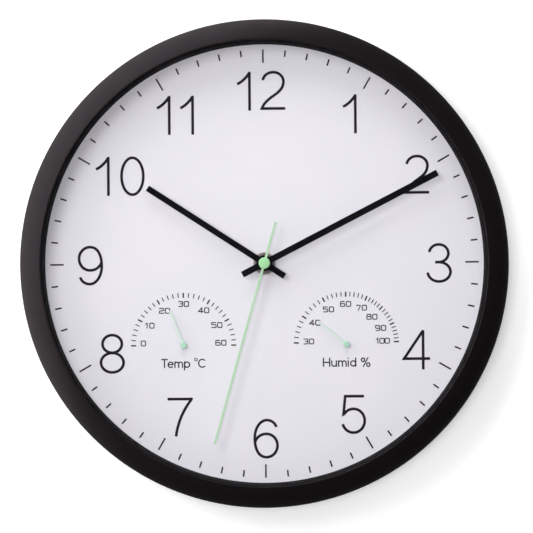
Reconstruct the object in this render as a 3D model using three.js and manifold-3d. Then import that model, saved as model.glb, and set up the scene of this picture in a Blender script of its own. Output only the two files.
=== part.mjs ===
// Round wall clock with a thermometer and a hygrometer on its dial. All lengths are in millimetres.
// +Z is up and the face looks along -Y. The wall is the plane y = 0, so a depth d lies at y = -d.
// The origin is the point where the clock hangs on its nail.
// Places on the face are (u, v): u to the right and v up, from the middle of the dial.

import * as THREE from "three";
import { mergeVertices } from "three/addons/utils/BufferGeometryUtils.js";
import Module from "manifold-3d";

// Fits
const FACE_GAP = 0.1; // between two flat faces that rest on each other
const FIT_GAP = 0.3; // between a loose part and the pocket it drops into
const RUN_GAP = 0.2; // between a shaft and its bore
const CUT_OVERRUN = 1; // how far a cutting tool runs past the surface it opens
const JOIN_OVERLAP = 0.4; // how far two shapes of one moulding run into each other

// Case
const CLOCK_RADIUS = 150;
const BEZEL_WIDTH = 13.2; // from the rim in to the crest
const BEZEL_TILT_AT_CREST = 22; // degrees that the front face leans back
const BEZEL_TILT_AT_EDGE = 50;
const BEZEL_EDGE_ROUND = 2.5;
const FRAME_WALL = 2.5;
const LIP_THICKNESS = 3.2; // from the crest to the seat of the glass
const LIP_DRAFT = 0.6;
const GLASS_OVERLAP = 2.7; // width of the glass hidden under the lip
const GLASS_THICKNESS = 2;
const GLASS_CLEARANCE = 1; // from the foremost hand to the glass
const SPACER_DRAFT = 1.4;
const SKIRT_WALL = 2;
const KNOB_RECESS = 4.45; // from the wall to the knob, the rearmost piece of the movement
const DIAL_THICKNESS = 1.2;
const BACK_PLATE_REAR = 1.2; // the back plate stays clear of the wall by this much
const BACK_PLATE_THICKNESS = 2.2;
const BACK_PLATE_RIM_GAP = 0.4;
const COVER_SKIRT_WALL = 2;
const CASE_SCREWS = 6;
const SCREW_BOSS_RADIUS = 3.1;
const SCREW_RADIUS = 1.3;
const SCREW_LENGTH = 12;
const SCREW_HEAD_RADIUS = 2.6;
const SCREW_HEAD_HEIGHT = 1.4;
const SCREW_RECESS_LENGTH = 3.2;
const SCREW_RECESS_WIDTH = 0.7;
const SCREW_RECESS_DEPTH = 0.9;
const PILOT_SPARE = 1; // how much deeper the hole is than the screw

// Hanger
const HANGER_INSET = 40; // from the rim down to the nail
const KEYHOLE_RADIUS = 5.5;
const KEYHOLE_SLOT_WIDTH = 5;
const KEYHOLE_DROP = 12; // from the nail's seat down to the middle of the round hole

// Openings of the back
const WELL_GAP = 5; // finger room between the movement and the wall of its well
const WELL_WALL = 1.8;
const VENTS = 5;
const VENT_WIDTH = 2.4;
const VENT_LENGTH = 24;
const VENT_PITCH = 6;

// Hands
const HAND_THICKNESS = 0.6;
const HAND_GAP = 1.2;
const HAND_HUB_RADIUS = 4.9;
const HOUR_ANGLE = -56.9; // degrees clockwise from twelve
const HOUR_SHORTFALL = 34.4; // how much shorter the hour hand is than the minute hand
const HOUR_TAIL = 14.75;
const HOUR_WIDTH = 3.75;
const MINUTE_ANGLE = 62.8;
const MINUTE_TIP_GAP = 15.7; // from the tip to the edge of the dial that shows
const MINUTE_TAIL = 15.2;
const MINUTE_WIDTH = 3.9;
const SECOND_ANGLE = 195.7;
const SECOND_TIP_GAP = 20.4;
const SECOND_TAIL = 26.1;
const SECOND_WIDTH = 1.5;
const SECOND_THICKNESS = 0.4;
const SECOND_COLLET_RADIUS = 1.2;
const CAP_RADIUS = 3.6;
const CAP_THICKNESS = 0.6;

// Fixing of the movement to the dial
const BUSH_RADIUS = 3.5;
const BUSH_PROUD = 3; // how far the bush stands out of the dial
const BUSH_FLANGE_RADIUS = 5;
const BUSH_FLANGE_THICKNESS = 0.7;
const WASHER_RADIUS = 6.85;
const WASHER_THICKNESS = 0.5;
const NUT_ACROSS_FLATS = 9;
const NUT_THICKNESS = 1.6;
const GASKET_THICKNESS = 0.6;
const GASKET_RADIUS = 12;

// Pipes and arbors of the train
const HOUR_PIPE_RADIUS = 2.7;
const MINUTE_PIPE_RADIUS = 1.8;
const PIPE_WALL = 0.65;
const SECOND_ARBOR_RADIUS = 0.6;
const ARBOR_RADIUS = 0.45;
const MOTION_STUD_RADIUS = 0.75;
const BEARING_BOSS_RADIUS = 1.4;
const BEARING_BOSS_HEIGHT = 0.8;
const BEARING_DEPTH = 0.8; // how far an arbor runs into the plate behind its boss
const PIPE_PROUD = 0.2; // how far a pipe stands out of its hand

// Teeth of the wheels, and the distances between their arbors
const CANNON_TEETH = 12;
const MOTION_TEETH = 36;
const MOTION_PINION_TEETH = 10;
const HOUR_TEETH = 40;
const SETTING_TEETH = 12;
const CENTRE_TEETH = 64;
const THIRD_PINION_TEETH = 8;
const THIRD_TEETH = 60;
const SECOND_PINION_TEETH = 8;
const SECOND_TEETH = 48;
const FIFTH_PINION_TEETH = 8;
const FIFTH_TEETH = 40;
const ROTOR_TEETH = 8;
const CANNON_ROOT_DEPTH = 0.14; // of metal between the minute pipe and the roots of its teeth
const THIRD_DISTANCE = 11.5;
const FIFTH_DISTANCE = 11.76;
const ROTOR_DISTANCE = 10.08;
const MOTION_DIRECTION = 115; // degrees anticlockwise from +u
const SETTING_DIRECTION = 60;
const THIRD_DIRECTION = 20;
const FIFTH_DIRECTION = 160;
const ROTOR_DIRECTION = 120;
const ADDENDUM = 0.8; // tooth height outside the pitch circle, in modules
const DEDENDUM = 1.15;
const TOOTH_ROOT_SHARE = 0.28; // half width of a tooth at its root, as a share of the pitch
const TOOTH_TIP_SHARE = 0.13;

// Layers of the train, counted back from the floor of the housing
const WHEEL_THICKNESS = 1;
const LAYERS = 6;
const LAYER_PITCH = 2.1;
const FIRST_LAYER_GAP = 1.2;
const PINION_OVERHANG = 0.25;

// Housing of the movement
const HOUSING_WALL = 1.3;
const COVER_THICKNESS = 1.2;
const PARTITION_WALL = 1.2;
const WHEEL_CLEARANCE = 0.46; // from the centre wheel to the partition
const BATTERY_RADIUS = 7.1;
const BATTERY_LENGTH = 49.2;
const BATTERY_NUB_RADIUS = 2.7;
const BATTERY_NUB_LENGTH = 1.3;
const BATTERY_GAP = 0.15;
const CONTACT_THICKNESS = 0.4;
const CONTACT_SPRING_TRAVEL = 1; // how far the spring contact stands off its wall
const CONTACT_WIDTH = 9;
const CONTACT_HEIGHT = 8;

// Motor and electronics
const ROTOR_MAGNET_RADIUS = 3.2;
const ROTOR_MAGNET_LENGTH = 3;
const STATOR_AIR_GAP = 0.4;
const STATOR_THICKNESS = 1;
const STATOR_LEG_WIDTH = 3;
const STATOR_MARGIN = 1.6; // iron left around the rotor's hole
const STATOR_POST_RADIUS = 1.3;
const COIL_STANDOFF = 1.25; // from the yoke of the stator to the coil
const COIL_LENGTH = 12;
const COIL_FLANGE_RADIUS = 3.6;
const COIL_FLANGE_THICKNESS = 0.8;
const COIL_WINDING_RADIUS = 3.1;
const COIL_TUBE_RADIUS = 1.9;
const COIL_TUBE_WALL = 0.6;
const CORE_WIDTH = 2;
const CORE_THICKNESS = 1;
const BOARD_WIDTH = 19;
const BOARD_HEIGHT = 8.4;
const BOARD_THICKNESS = 1;
const BOARD_POST_RADIUS = 1.5;
const CRYSTAL_RADIUS = 1.4;
const CRYSTAL_LENGTH = 8;
const CHIP_RADIUS = 2.2;
const CHIP_THICKNESS = 0.8;

// Time setting knob
const KNOB_RADIUS = 5;
const KNOB_THICKNESS = 3.2;
const KNOB_RIBS = 12;
const KNOB_RIB_DEPTH = 0.5;
const KNOB_RIB_SHARE = 0.6; // of each rib's pitch that is full radius
const KNOB_SHAFT_RADIUS = 1.2;
const KNOB_STANDOFF = 0.4;

// Thermometer and hygrometer
const SENSOR_OFFSET = 50; // of each spindle from the middle of the dial, sideways
const SENSOR_DROP = 50.1;
const SENSOR_RADIUS = 17;
const SENSOR_DEPTH = 11.6;
const SENSOR_WALL = 1.2;
const SENSOR_VENTS = 4;
const SENSOR_VENT_WIDTH = 9;
const SENSOR_BOSS_RADIUS = 1.8;
const SENSOR_BOSS_HEIGHT = 1.4;
const SPINDLE_RADIUS = 0.6;
const SPINDLE_HOLE_RADIUS = 1.4;
const COIL_STRIP_THICKNESS = 0.35;
const COIL_STRIP_WIDTH = 4;
const COIL_TURNS = 5;
const COIL_OUTER_RADIUS = 12.5;
const COIL_POST_RADIUS = 1.2;
const THERMO_ANGLE = -21.2; // where each pointer stands, degrees clockwise from straight up
const HYGRO_ANGLE = -50.2;
const THERMO_REACH = 23;
const HYGRO_REACH = 22.4;
const POINTER_ROOT_WIDTH = 2.6;
const POINTER_TIP_WIDTH = 1.7;
const POINTER_THICKNESS = 0.4;
const POINTER_HUB_RADIUS = 2;
const POINTER_HUB_HEIGHT = 0.9;
const POINTER_LIFT = 1.6; // above the dial

// Facets
const CASE_SIDES = 72;
const HUB_SIDES = 24;
const SHAFT_SIDES = 12;
const SMALL_SIDES = 8;
const BEZEL_STEPS = 5;
const EDGE_STEPS = 3;
const SPIRAL_STEPS = 14; // per turn

const FINISH = {
  blackPlastic: { color: 0x1c1a1c, roughness: 0.45, metalness: 0 },
  darkPlastic: { color: 0x2b2a2d, roughness: 0.6, metalness: 0 },
  glass: { color: 0xeef4f6, roughness: 0.05, metalness: 0, transparent: true, opacity: 0.25 },
  dialWhite: { color: 0xebe8ef, roughness: 0.6, metalness: 0 },
  blackHand: { color: 0x0f0e13, roughness: 0.4, metalness: 0.2 },
  greenHand: { color: 0xc3dbc5, roughness: 0.5, metalness: 0 },
  greenCap: { color: 0xafdfac, roughness: 0.4, metalness: 0 },
  palePointer: { color: 0xd4dfdc, roughness: 0.5, metalness: 0 },
  brass: { color: 0xb8975a, roughness: 0.35, metalness: 1 },
  steel: { color: 0xb4b7ba, roughness: 0.35, metalness: 1 },
  whiteNylon: { color: 0xe8e6de, roughness: 0.5, metalness: 0 },
  rubber: { color: 0x202020, roughness: 0.9, metalness: 0 },
  copper: { color: 0xb4693c, roughness: 0.4, metalness: 1 },
  magnet: { color: 0x4a4a50, roughness: 0.4, metalness: 0.8 },
  board: { color: 0x2f6b3c, roughness: 0.6, metalness: 0 },
  battery: { color: 0x3a4a58, roughness: 0.4, metalness: 0.3 },
};

// Depths of the stack, from the wall forwards
const trainDepth =
  FIRST_LAYER_GAP + LAYERS * LAYER_PITCH + PINION_OVERHANG + BEARING_BOSS_HEIGHT;
const bayDepth = 2 * BATTERY_RADIUS + BATTERY_GAP;
const knobFront = KNOB_RECESS + KNOB_THICKNESS;
const coverRear = knobFront + KNOB_STANDOFF;
const coverFront = coverRear + COVER_THICKNESS;
const housingRear = coverFront + FACE_GAP;
const floorRear = housingRear + Math.max(trainDepth, bayDepth);
const housingFront = floorRear + HOUSING_WALL;
const gasketRear = housingFront + FACE_GAP;
const gasketFront = gasketRear + GASKET_THICKNESS;
const dialRear = gasketFront + FACE_GAP;
const dialFront = dialRear + DIAL_THICKNESS;
const washerRear = dialFront + FACE_GAP;
const nutRear = washerRear + WASHER_THICKNESS + FACE_GAP;
const bushFront = dialFront + BUSH_PROUD;
const hourHandRear = bushFront + HAND_GAP;
const hourPipeFront = hourHandRear + HAND_THICKNESS + PIPE_PROUD;
const minuteHandRear = hourHandRear + HAND_THICKNESS + HAND_GAP;
const minutePipeFront = minuteHandRear + HAND_THICKNESS + PIPE_PROUD;
const secondHandRear = minuteHandRear + HAND_THICKNESS + HAND_GAP;
const capRear = secondHandRear + SECOND_THICKNESS + FACE_GAP;
const capFront = capRear + CAP_THICKNESS;
const glassRear = capFront + GLASS_CLEARANCE;
const glassFront = glassRear + GLASS_THICKNESS;
const seatDepth = glassFront + FACE_GAP;
const crestDepth = seatDepth + LIP_THICKNESS;
const backPlateFront = BACK_PLATE_REAR + BACK_PLATE_THICKNESS;

// Radii of the case
const crestRadius = CLOCK_RADIUS - BEZEL_WIDTH;
const seatInnerRadius = crestRadius - LIP_DRAFT;
const glassRadius = seatInnerRadius + GLASS_OVERLAP;
const spacerFrontRadius = seatInnerRadius - FACE_GAP;
const shownDialRadius = spacerFrontRadius - SPACER_DRAFT;
const skirtInnerRadius = glassRadius + FIT_GAP;
const skirtOuterRadius = skirtInnerRadius + SKIRT_WALL;
const channelRadius = CLOCK_RADIUS - FRAME_WALL;
const screwCircleRadius = (skirtOuterRadius + channelRadius) / 2;
const coverSkirtRadius = glassRadius - FIT_GAP;
const pilotRadius = SCREW_RADIUS + RUN_GAP;
const hangerHeight = CLOCK_RADIUS - HANGER_INSET;

const wasm = await Module();
wasm.setup();

// Turns a closed three.js geometry into a solid that can be joined and cut.
function solidOf(geometry) {
  const bare = geometry.clone();
  bare.deleteAttribute("normal");
  bare.deleteAttribute("uv");
  const merged = mergeVertices(bare, 1e-4);
  const mesh = new wasm.Mesh({
    numProp: 3,
    vertProperties: merged.attributes.position.array,
    triVerts: new Uint32Array(merged.index.array),
  });
  return new wasm.Manifold(mesh);
}

function geometryOf(solid) {
  const mesh = solid.getMesh();
  const indexed = new THREE.BufferGeometry();
  indexed.setAttribute("position", new THREE.BufferAttribute(mesh.vertProperties, 3));
  indexed.setIndex(new THREE.BufferAttribute(mesh.triVerts, 1));
  const flat = indexed.toNonIndexed();
  flat.computeVertexNormals();
  return flat;
}

function join(...geometries) {
  return geometryOf(geometries.map(solidOf).reduce((whole, next) => whole.add(next)));
}

function cut(geometry, ...tools) {
  const removed = tools.map(solidOf).reduce((whole, next) => whole.add(next));
  return geometryOf(solidOf(geometry).subtract(removed));
}

function common(geometry, other) {
  return geometryOf(solidOf(geometry).intersect(solidOf(other)));
}

function piece(name, geometry, finish) {
  const mesh = new THREE.Mesh(geometry, new THREE.MeshStandardMaterial(FINISH[finish]));
  mesh.name = name;
  return mesh;
}

function radians(degrees) {
  return THREE.MathUtils.degToRad(degrees);
}

// A point at a distance from (u, v), in a direction measured anticlockwise from +u.
function polar(distance, degrees, [u, v] = [0, 0]) {
  return [u + distance * Math.cos(radians(degrees)), v + distance * Math.sin(radians(degrees))];
}

function circlePoints(radius, sides, centre = [0, 0]) {
  const points = [];
  for (let i = 0; i < sides; i++) {
    points.push(new THREE.Vector2(...polar(radius, (360 * i) / sides, centre)));
  }
  return points;
}

function rectanglePoints(left, right, bottom, top) {
  return [
    new THREE.Vector2(left, bottom),
    new THREE.Vector2(right, bottom),
    new THREE.Vector2(right, top),
    new THREE.Vector2(left, top),
  ];
}

// A flat plate between two depths, from an outline on the face and the outlines of its holes.
function plate(outline, rear, front, holes = []) {
  const shape = new THREE.Shape(outline);
  shape.holes = holes.map((points) => new THREE.Path(points));
  const made = new THREE.ExtrudeGeometry(shape, { depth: front - rear, bevelEnabled: false });
  made.translate(0, 0, rear);
  return made.rotateX(Math.PI / 2);
}

function block(left, right, bottom, top, rear, front) {
  return plate(rectanglePoints(left, right, bottom, top), rear, front);
}

function rod(radius, rear, front, centre = [0, 0], sides = SHAFT_SIDES) {
  return plate(circlePoints(radius, sides, centre), rear, front);
}

function tube(inner, outer, rear, front, sides = SHAFT_SIDES) {
  return plate(circlePoints(outer, sides), rear, front, [circlePoints(inner, sides)]);
}

// A turned shape from [radius, depth] points that run anticlockwise, with depth upwards.
function turned(profile, sides) {
  const points = profile.map(([radius, depth]) => new THREE.Vector2(radius, -depth));
  return new THREE.LatheGeometry(points.reverse(), sides);
}

function closed(profile) {
  return [...profile, profile[0]];
}

// Bezel: the front face leans back more and more from its crest, and ends in a round edge.
const crestTilt = radians(BEZEL_TILT_AT_CREST);
const edgeTilt = radians(BEZEL_TILT_AT_EDGE);
const edgeReach = BEZEL_EDGE_ROUND * (1 - Math.sin(edgeTilt));
const faceReach = BEZEL_WIDTH - edgeReach;
const faceRadius = faceReach / (Math.sin(edgeTilt) - Math.sin(crestTilt));

function faceDepth(radius) {
  const sine = Math.sin(crestTilt) + (radius - crestRadius) / faceRadius;
  return crestDepth - faceRadius * (Math.cos(crestTilt) - Math.sqrt(1 - sine * sine));
}

const faceEndDepth = faceDepth(crestRadius + faceReach);
const shoulderDepth = faceEndDepth - BEZEL_EDGE_ROUND * Math.cos(edgeTilt);

function bezelProfile() {
  const points = [];
  for (let i = 0; i <= EDGE_STEPS; i++) {
    const tilt = Math.PI / 2 + ((edgeTilt - Math.PI / 2) * i) / EDGE_STEPS;
    points.push([
      CLOCK_RADIUS - BEZEL_EDGE_ROUND * (1 - Math.sin(tilt)),
      shoulderDepth + BEZEL_EDGE_ROUND * Math.cos(tilt),
    ]);
  }
  for (let i = 1; i <= BEZEL_STEPS; i++) {
    const radius = crestRadius + faceReach * (1 - i / BEZEL_STEPS);
    points.push([radius, faceDepth(radius)]);
  }
  return points;
}

function screwPlaces() {
  const places = [];
  for (let i = 0; i < CASE_SCREWS; i++) {
    places.push(polar(screwCircleRadius, (360 * (i + 0.5)) / CASE_SCREWS));
  }
  return places;
}

function frontFrame() {
  const undersideAtSkirt = faceDepth(skirtOuterRadius) - FRAME_WALL;
  const undersideAtWall = faceDepth(channelRadius) - FRAME_WALL;
  const shell = turned(
    closed([
      [channelRadius, 0],
      [CLOCK_RADIUS, 0],
      ...bezelProfile(),
      [seatInnerRadius, seatDepth],
      [skirtInnerRadius, seatDepth],
      [skirtInnerRadius, dialRear - SKIRT_WALL],
      [skirtOuterRadius, dialRear - SKIRT_WALL],
      [skirtOuterRadius, undersideAtSkirt],
      [channelRadius, undersideAtWall],
    ]),
    CASE_SIDES,
  );
  const bossRear = backPlateFront + FACE_GAP;
  const channel = turned(
    closed([
      [skirtOuterRadius - JOIN_OVERLAP, bossRear],
      [channelRadius + JOIN_OVERLAP, bossRear],
      [channelRadius + JOIN_OVERLAP, undersideAtWall + JOIN_OVERLAP],
      [skirtOuterRadius - JOIN_OVERLAP, undersideAtSkirt + JOIN_OVERLAP],
    ]),
    CASE_SIDES,
  );
  const columns = screwPlaces().map((place) =>
    rod(SCREW_BOSS_RADIUS, bossRear - CUT_OVERRUN, undersideAtSkirt + CUT_OVERRUN, place),
  );
  const bosses = common(join(...columns), channel);
  const pilotFront = BACK_PLATE_REAR + SCREW_LENGTH + PILOT_SPARE;
  const pilots = screwPlaces().map((place) =>
    rod(pilotRadius, bossRear - CUT_OVERRUN, pilotFront, place, SMALL_SIDES),
  );
  return piece("front_frame", cut(join(shell, bosses), ...pilots), "blackPlastic");
}

function glassLens() {
  const disc = rod(glassRadius, glassRear, glassFront, [0, 0], CASE_SIDES);
  return piece("glass_lens", disc, "glass");
}

// The black inner wall that is seen between the glass and the dial.
function spacerRing() {
  const spacerRear = dialFront + FACE_GAP;
  const spacerFront = glassRear - FACE_GAP;
  const ring = turned(
    closed([
      [shownDialRadius, spacerRear],
      [glassRadius, spacerRear],
      [glassRadius, spacerFront],
      [spacerFrontRadius, spacerFront],
    ]),
    CASE_SIDES,
  );
  return piece("spacer_ring", ring, "blackPlastic");
}

const thermoPlace = [-SENSOR_OFFSET, -SENSOR_DROP];
const hygroPlace = [SENSOR_OFFSET, -SENSOR_DROP];

function dial() {
  const holes = [
    circlePoints(BUSH_RADIUS + RUN_GAP, HUB_SIDES),
    circlePoints(SPINDLE_HOLE_RADIUS, SHAFT_SIDES, thermoPlace),
    circlePoints(SPINDLE_HOLE_RADIUS, SHAFT_SIDES, hygroPlace),
  ];
  const disc = plate(circlePoints(glassRadius, CASE_SIDES), dialRear, dialFront, holes);
  return piece("dial", disc, "dialWhite");
}

// Modules of the teeth, and the distance between the hand shaft and the motion wheel
const motionModule = (MINUTE_PIPE_RADIUS + CANNON_ROOT_DEPTH) / (CANNON_TEETH / 2 - DEDENDUM);
const motionDistance = (motionModule * (CANNON_TEETH + MOTION_TEETH)) / 2;
const hourModule = moduleOf(motionDistance, MOTION_PINION_TEETH, HOUR_TEETH);
const centreModule = moduleOf(THIRD_DISTANCE, CENTRE_TEETH, THIRD_PINION_TEETH);
const thirdModule = moduleOf(THIRD_DISTANCE, SECOND_PINION_TEETH, THIRD_TEETH);
const fifthModule = moduleOf(FIFTH_DISTANCE, SECOND_TEETH, FIFTH_PINION_TEETH);
const rotorModule = moduleOf(ROTOR_DISTANCE, FIFTH_TEETH, ROTOR_TEETH);

// Places of the arbors
const settingDistance = (motionModule * (MOTION_TEETH + SETTING_TEETH)) / 2;
const motionPlace = polar(motionDistance, MOTION_DIRECTION);
const settingPlace = polar(settingDistance, SETTING_DIRECTION, motionPlace);
const thirdPlace = polar(THIRD_DISTANCE, THIRD_DIRECTION);
const fifthPlace = polar(FIFTH_DISTANCE, FIFTH_DIRECTION);
const rotorPlace = polar(ROTOR_DISTANCE, ROTOR_DIRECTION, fifthPlace);
const bearingPlaces = [thirdPlace, fifthPlace, rotorPlace];

// Outline of the motor, whose coil lies on the two legs of the stator above its yoke
const rotorHoleRadius = ROTOR_MAGNET_RADIUS + STATOR_AIR_GAP;
const statorLeft = rotorPlace[0] - rotorHoleRadius - STATOR_LEG_WIDTH - STATOR_MARGIN;
const statorRight = statorLeft + COIL_LENGTH + 2 * (FIT_GAP + STATOR_LEG_WIDTH);
const yokeBottom = rotorPlace[1] - rotorHoleRadius - STATOR_MARGIN;
const yokeTop = rotorPlace[1] + rotorHoleRadius + STATOR_MARGIN;
const coilHeight = yokeTop + COIL_STANDOFF + COIL_FLANGE_RADIUS;

// Outline of the housing of the movement, around the hand shaft
const centreWheelRadius = (centreModule * CENTRE_TEETH) / 2 + centreModule * ADDENDUM;
const housingTop = coilHeight + COIL_FLANGE_RADIUS + FIT_GAP + HOUSING_WALL;
const chamberBottom = -(centreWheelRadius + WHEEL_CLEARANCE);
const bayTop = chamberBottom - PARTITION_WALL;
const bayBottom = bayTop - 2 * (BATTERY_RADIUS + BATTERY_GAP);
const housingBottom = bayBottom - HOUSING_WALL;
const contactRoom = FIT_GAP + CONTACT_THICKNESS + FIT_GAP;
const springRoom = contactRoom + CONTACT_SPRING_TRAVEL;
const bayLength = BATTERY_LENGTH + BATTERY_NUB_LENGTH + contactRoom + springRoom;
const housingHalfWidth = bayLength / 2 + HOUSING_WALL;

function keyholeOutline() {
  const half = KEYHOLE_SLOT_WIDTH / 2;
  const seat = [0, hangerHeight];
  const entry = [0, hangerHeight - KEYHOLE_DROP];
  const neck = THREE.MathUtils.radToDeg(Math.acos(half / KEYHOLE_RADIUS));
  const points = [];
  for (let i = 0; i <= SMALL_SIDES; i++) {
    points.push(new THREE.Vector2(...polar(half, (180 * i) / SMALL_SIDES, seat)));
  }
  for (let i = 0; i <= SHAFT_SIDES; i++) {
    const turn = 180 - neck + ((180 + 2 * neck) * i) / SHAFT_SIDES;
    points.push(new THREE.Vector2(...polar(KEYHOLE_RADIUS, turn, entry)));
  }
  return points;
}

function ventOutlines(place) {
  const outlines = [];
  for (let i = 0; i < VENTS; i++) {
    const u = place[0] + (i - (VENTS - 1) / 2) * VENT_PITCH;
    const bottom = place[1] - VENT_LENGTH / 2;
    outlines.push(rectanglePoints(u - VENT_WIDTH / 2, u + VENT_WIDTH / 2, bottom, bottom + VENT_LENGTH));
  }
  return outlines;
}

function backCover() {
  const wellSide = housingHalfWidth + WELL_GAP;
  const wellBottom = housingBottom - WELL_GAP;
  const wellTop = housingTop + WELL_GAP;
  const wallRear = backPlateFront - JOIN_OVERLAP;
  const wallFront = dialRear - FACE_GAP;
  const rim = channelRadius - BACK_PLATE_RIM_GAP;
  const sheet = rod(rim, BACK_PLATE_REAR, backPlateFront, [0, 0], CASE_SIDES);
  const skirt = tube(coverSkirtRadius - COVER_SKIRT_WALL, coverSkirtRadius, wallRear, wallFront, CASE_SIDES);
  const wellWall = block(
    -wellSide - WELL_WALL,
    wellSide + WELL_WALL,
    wellBottom - WELL_WALL,
    wellTop + WELL_WALL,
    wallRear,
    wallFront,
  );
  const openings = [
    rectanglePoints(-wellSide, wellSide, wellBottom, wellTop),
    keyholeOutline(),
    ...ventOutlines(thermoPlace),
    ...ventOutlines(hygroPlace),
    ...screwPlaces().map((place) => circlePoints(pilotRadius, SHAFT_SIDES, place)),
  ];
  const cutters = openings.map((outline) =>
    plate(outline, BACK_PLATE_REAR - CUT_OVERRUN, wallFront + CUT_OVERRUN),
  );
  const countersinks = screwPlaces().map((place) => countersink(FIT_GAP).translate(place[0], 0, place[1]));
  const moulding = join(sheet, skirt, wellWall);
  return piece("back_cover", cut(moulding, ...cutters, ...countersinks), "darkPlastic");
}

// The cone that the head of a case screw sinks into, larger than the head by a gap.
function countersink(gap) {
  const headFront = BACK_PLATE_REAR + SCREW_HEAD_HEIGHT + gap;
  return turned(
    [
      [0, BACK_PLATE_REAR - CUT_OVERRUN],
      [SCREW_HEAD_RADIUS + gap, BACK_PLATE_REAR - CUT_OVERRUN],
      [SCREW_HEAD_RADIUS + gap, BACK_PLATE_REAR],
      [pilotRadius, headFront],
      [0, headFront],
    ],
    SHAFT_SIDES,
  );
}

function caseScrew(name, [u, v]) {
  const headFront = BACK_PLATE_REAR + SCREW_HEAD_HEIGHT;
  const tip = BACK_PLATE_REAR + SCREW_LENGTH;
  const shank = turned(
    [
      [0, BACK_PLATE_REAR],
      [SCREW_HEAD_RADIUS, BACK_PLATE_REAR],
      [SCREW_RADIUS, headFront],
      [SCREW_RADIUS, tip - SCREW_RADIUS],
      [0, tip],
    ],
    SHAFT_SIDES,
  );
  const long = SCREW_RECESS_LENGTH / 2;
  const thin = SCREW_RECESS_WIDTH / 2;
  const recessRear = BACK_PLATE_REAR - CUT_OVERRUN;
  const recessFront = BACK_PLATE_REAR + SCREW_RECESS_DEPTH;
  const across = block(-long, long, -thin, thin, recessRear, recessFront);
  const upright = block(-thin, thin, -long, long, recessRear, recessFront);
  const screw = piece(name, cut(shank, across, upright), "steel");
  screw.position.set(u, 0, v);
  return screw;
}

// Depths of one layer of the train
function layer(index) {
  const front = floorRear - FIRST_LAYER_GAP - index * LAYER_PITCH;
  return { front, rear: front - WHEEL_THICKNESS };
}

const hourLayer = layer(0);
const motionLayer = layer(1);
const centreLayer = layer(2);
const thirdLayer = layer(3);
const secondLayer = layer(4);
const fifthLayer = layer(5);

const arborRear = coverFront - BEARING_DEPTH;
const arborFront = floorRear + BEARING_DEPTH;

function moduleOf(distance, teeth, otherTeeth) {
  return (2 * distance) / (teeth + otherTeeth);
}

function gearPoints(teeth, module) {
  const pitchRadius = (teeth * module) / 2;
  const tip = pitchRadius + ADDENDUM * module;
  const root = pitchRadius - DEDENDUM * module;
  const step = 360 / teeth;
  const points = [];
  for (let i = 0; i < teeth; i++) {
    points.push(new THREE.Vector2(...polar(root, step * (i - TOOTH_ROOT_SHARE))));
    points.push(new THREE.Vector2(...polar(tip, step * (i - TOOTH_TIP_SHARE))));
    points.push(new THREE.Vector2(...polar(tip, step * (i + TOOTH_TIP_SHARE))));
    points.push(new THREE.Vector2(...polar(root, step * (i + TOOTH_ROOT_SHARE))));
  }
  return points;
}

function wheel(teeth, module, { front, rear }) {
  return plate(gearPoints(teeth, module), rear, front);
}

function pinion(teeth, module, { front, rear }) {
  return plate(gearPoints(teeth, module), rear - PINION_OVERHANG, front + PINION_OVERHANG);
}

// The turn, anticlockwise in degrees, that sets a gear's teeth into the gaps of the gear it meshes with.
// The first gear stands at a turn of its own, and the direction runs from the first arbor to the second.
function meshedTurn(firstTeeth, firstTurn, secondTeeth, direction) {
  const share = ((direction - firstTurn) * firstTeeth) / 360;
  return direction + 180 - ((0.5 - share) * 360) / secondTeeth;
}

const motionTurn = meshedTurn(CANNON_TEETH, 0, MOTION_TEETH, MOTION_DIRECTION);
const hourTurn = meshedTurn(MOTION_PINION_TEETH, motionTurn, HOUR_TEETH, MOTION_DIRECTION + 180);
const settingTurn = meshedTurn(MOTION_TEETH, motionTurn, SETTING_TEETH, SETTING_DIRECTION);
const thirdTurn = meshedTurn(SECOND_PINION_TEETH, 0, THIRD_TEETH, THIRD_DIRECTION);
const centreTurn = meshedTurn(THIRD_PINION_TEETH, thirdTurn, CENTRE_TEETH, THIRD_DIRECTION + 180);
const fifthTurn = meshedTurn(SECOND_TEETH, 0, FIFTH_PINION_TEETH, FIFTH_DIRECTION);
const rotorTurn = meshedTurn(FIFTH_TEETH, fifthTurn, ROTOR_TEETH, ROTOR_DIRECTION);

// Stands a piece on its arbor, turned anticlockwise as seen from the front.
function onArbor(mesh, [u, v], turn) {
  mesh.position.set(u, 0, v);
  mesh.rotation.y = -radians(turn);
  return mesh;
}

function hourWheel() {
  const toothed = wheel(HOUR_TEETH, hourModule, hourLayer);
  const pipe = rod(HOUR_PIPE_RADIUS, hourLayer.rear, hourPipeFront, [0, 0], HUB_SIDES);
  const bore = rod(
    HOUR_PIPE_RADIUS - PIPE_WALL,
    hourLayer.rear - CUT_OVERRUN,
    hourPipeFront + CUT_OVERRUN,
    [0, 0],
    HUB_SIDES,
  );
  return onArbor(piece("hour_wheel", cut(join(toothed, pipe), bore), "whiteNylon"), [0, 0], hourTurn);
}

function minutePipe() {
  const rear = centreLayer.rear - PINION_OVERHANG;
  const toothed = pinion(CANNON_TEETH, motionModule, motionLayer);
  const pipe = rod(MINUTE_PIPE_RADIUS, rear, minutePipeFront, [0, 0], HUB_SIDES);
  const bore = rod(
    MINUTE_PIPE_RADIUS - PIPE_WALL,
    rear - CUT_OVERRUN,
    minutePipeFront + CUT_OVERRUN,
    [0, 0],
    SHAFT_SIDES,
  );
  return piece("minute_pipe", cut(join(toothed, pipe), bore), "brass");
}

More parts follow.
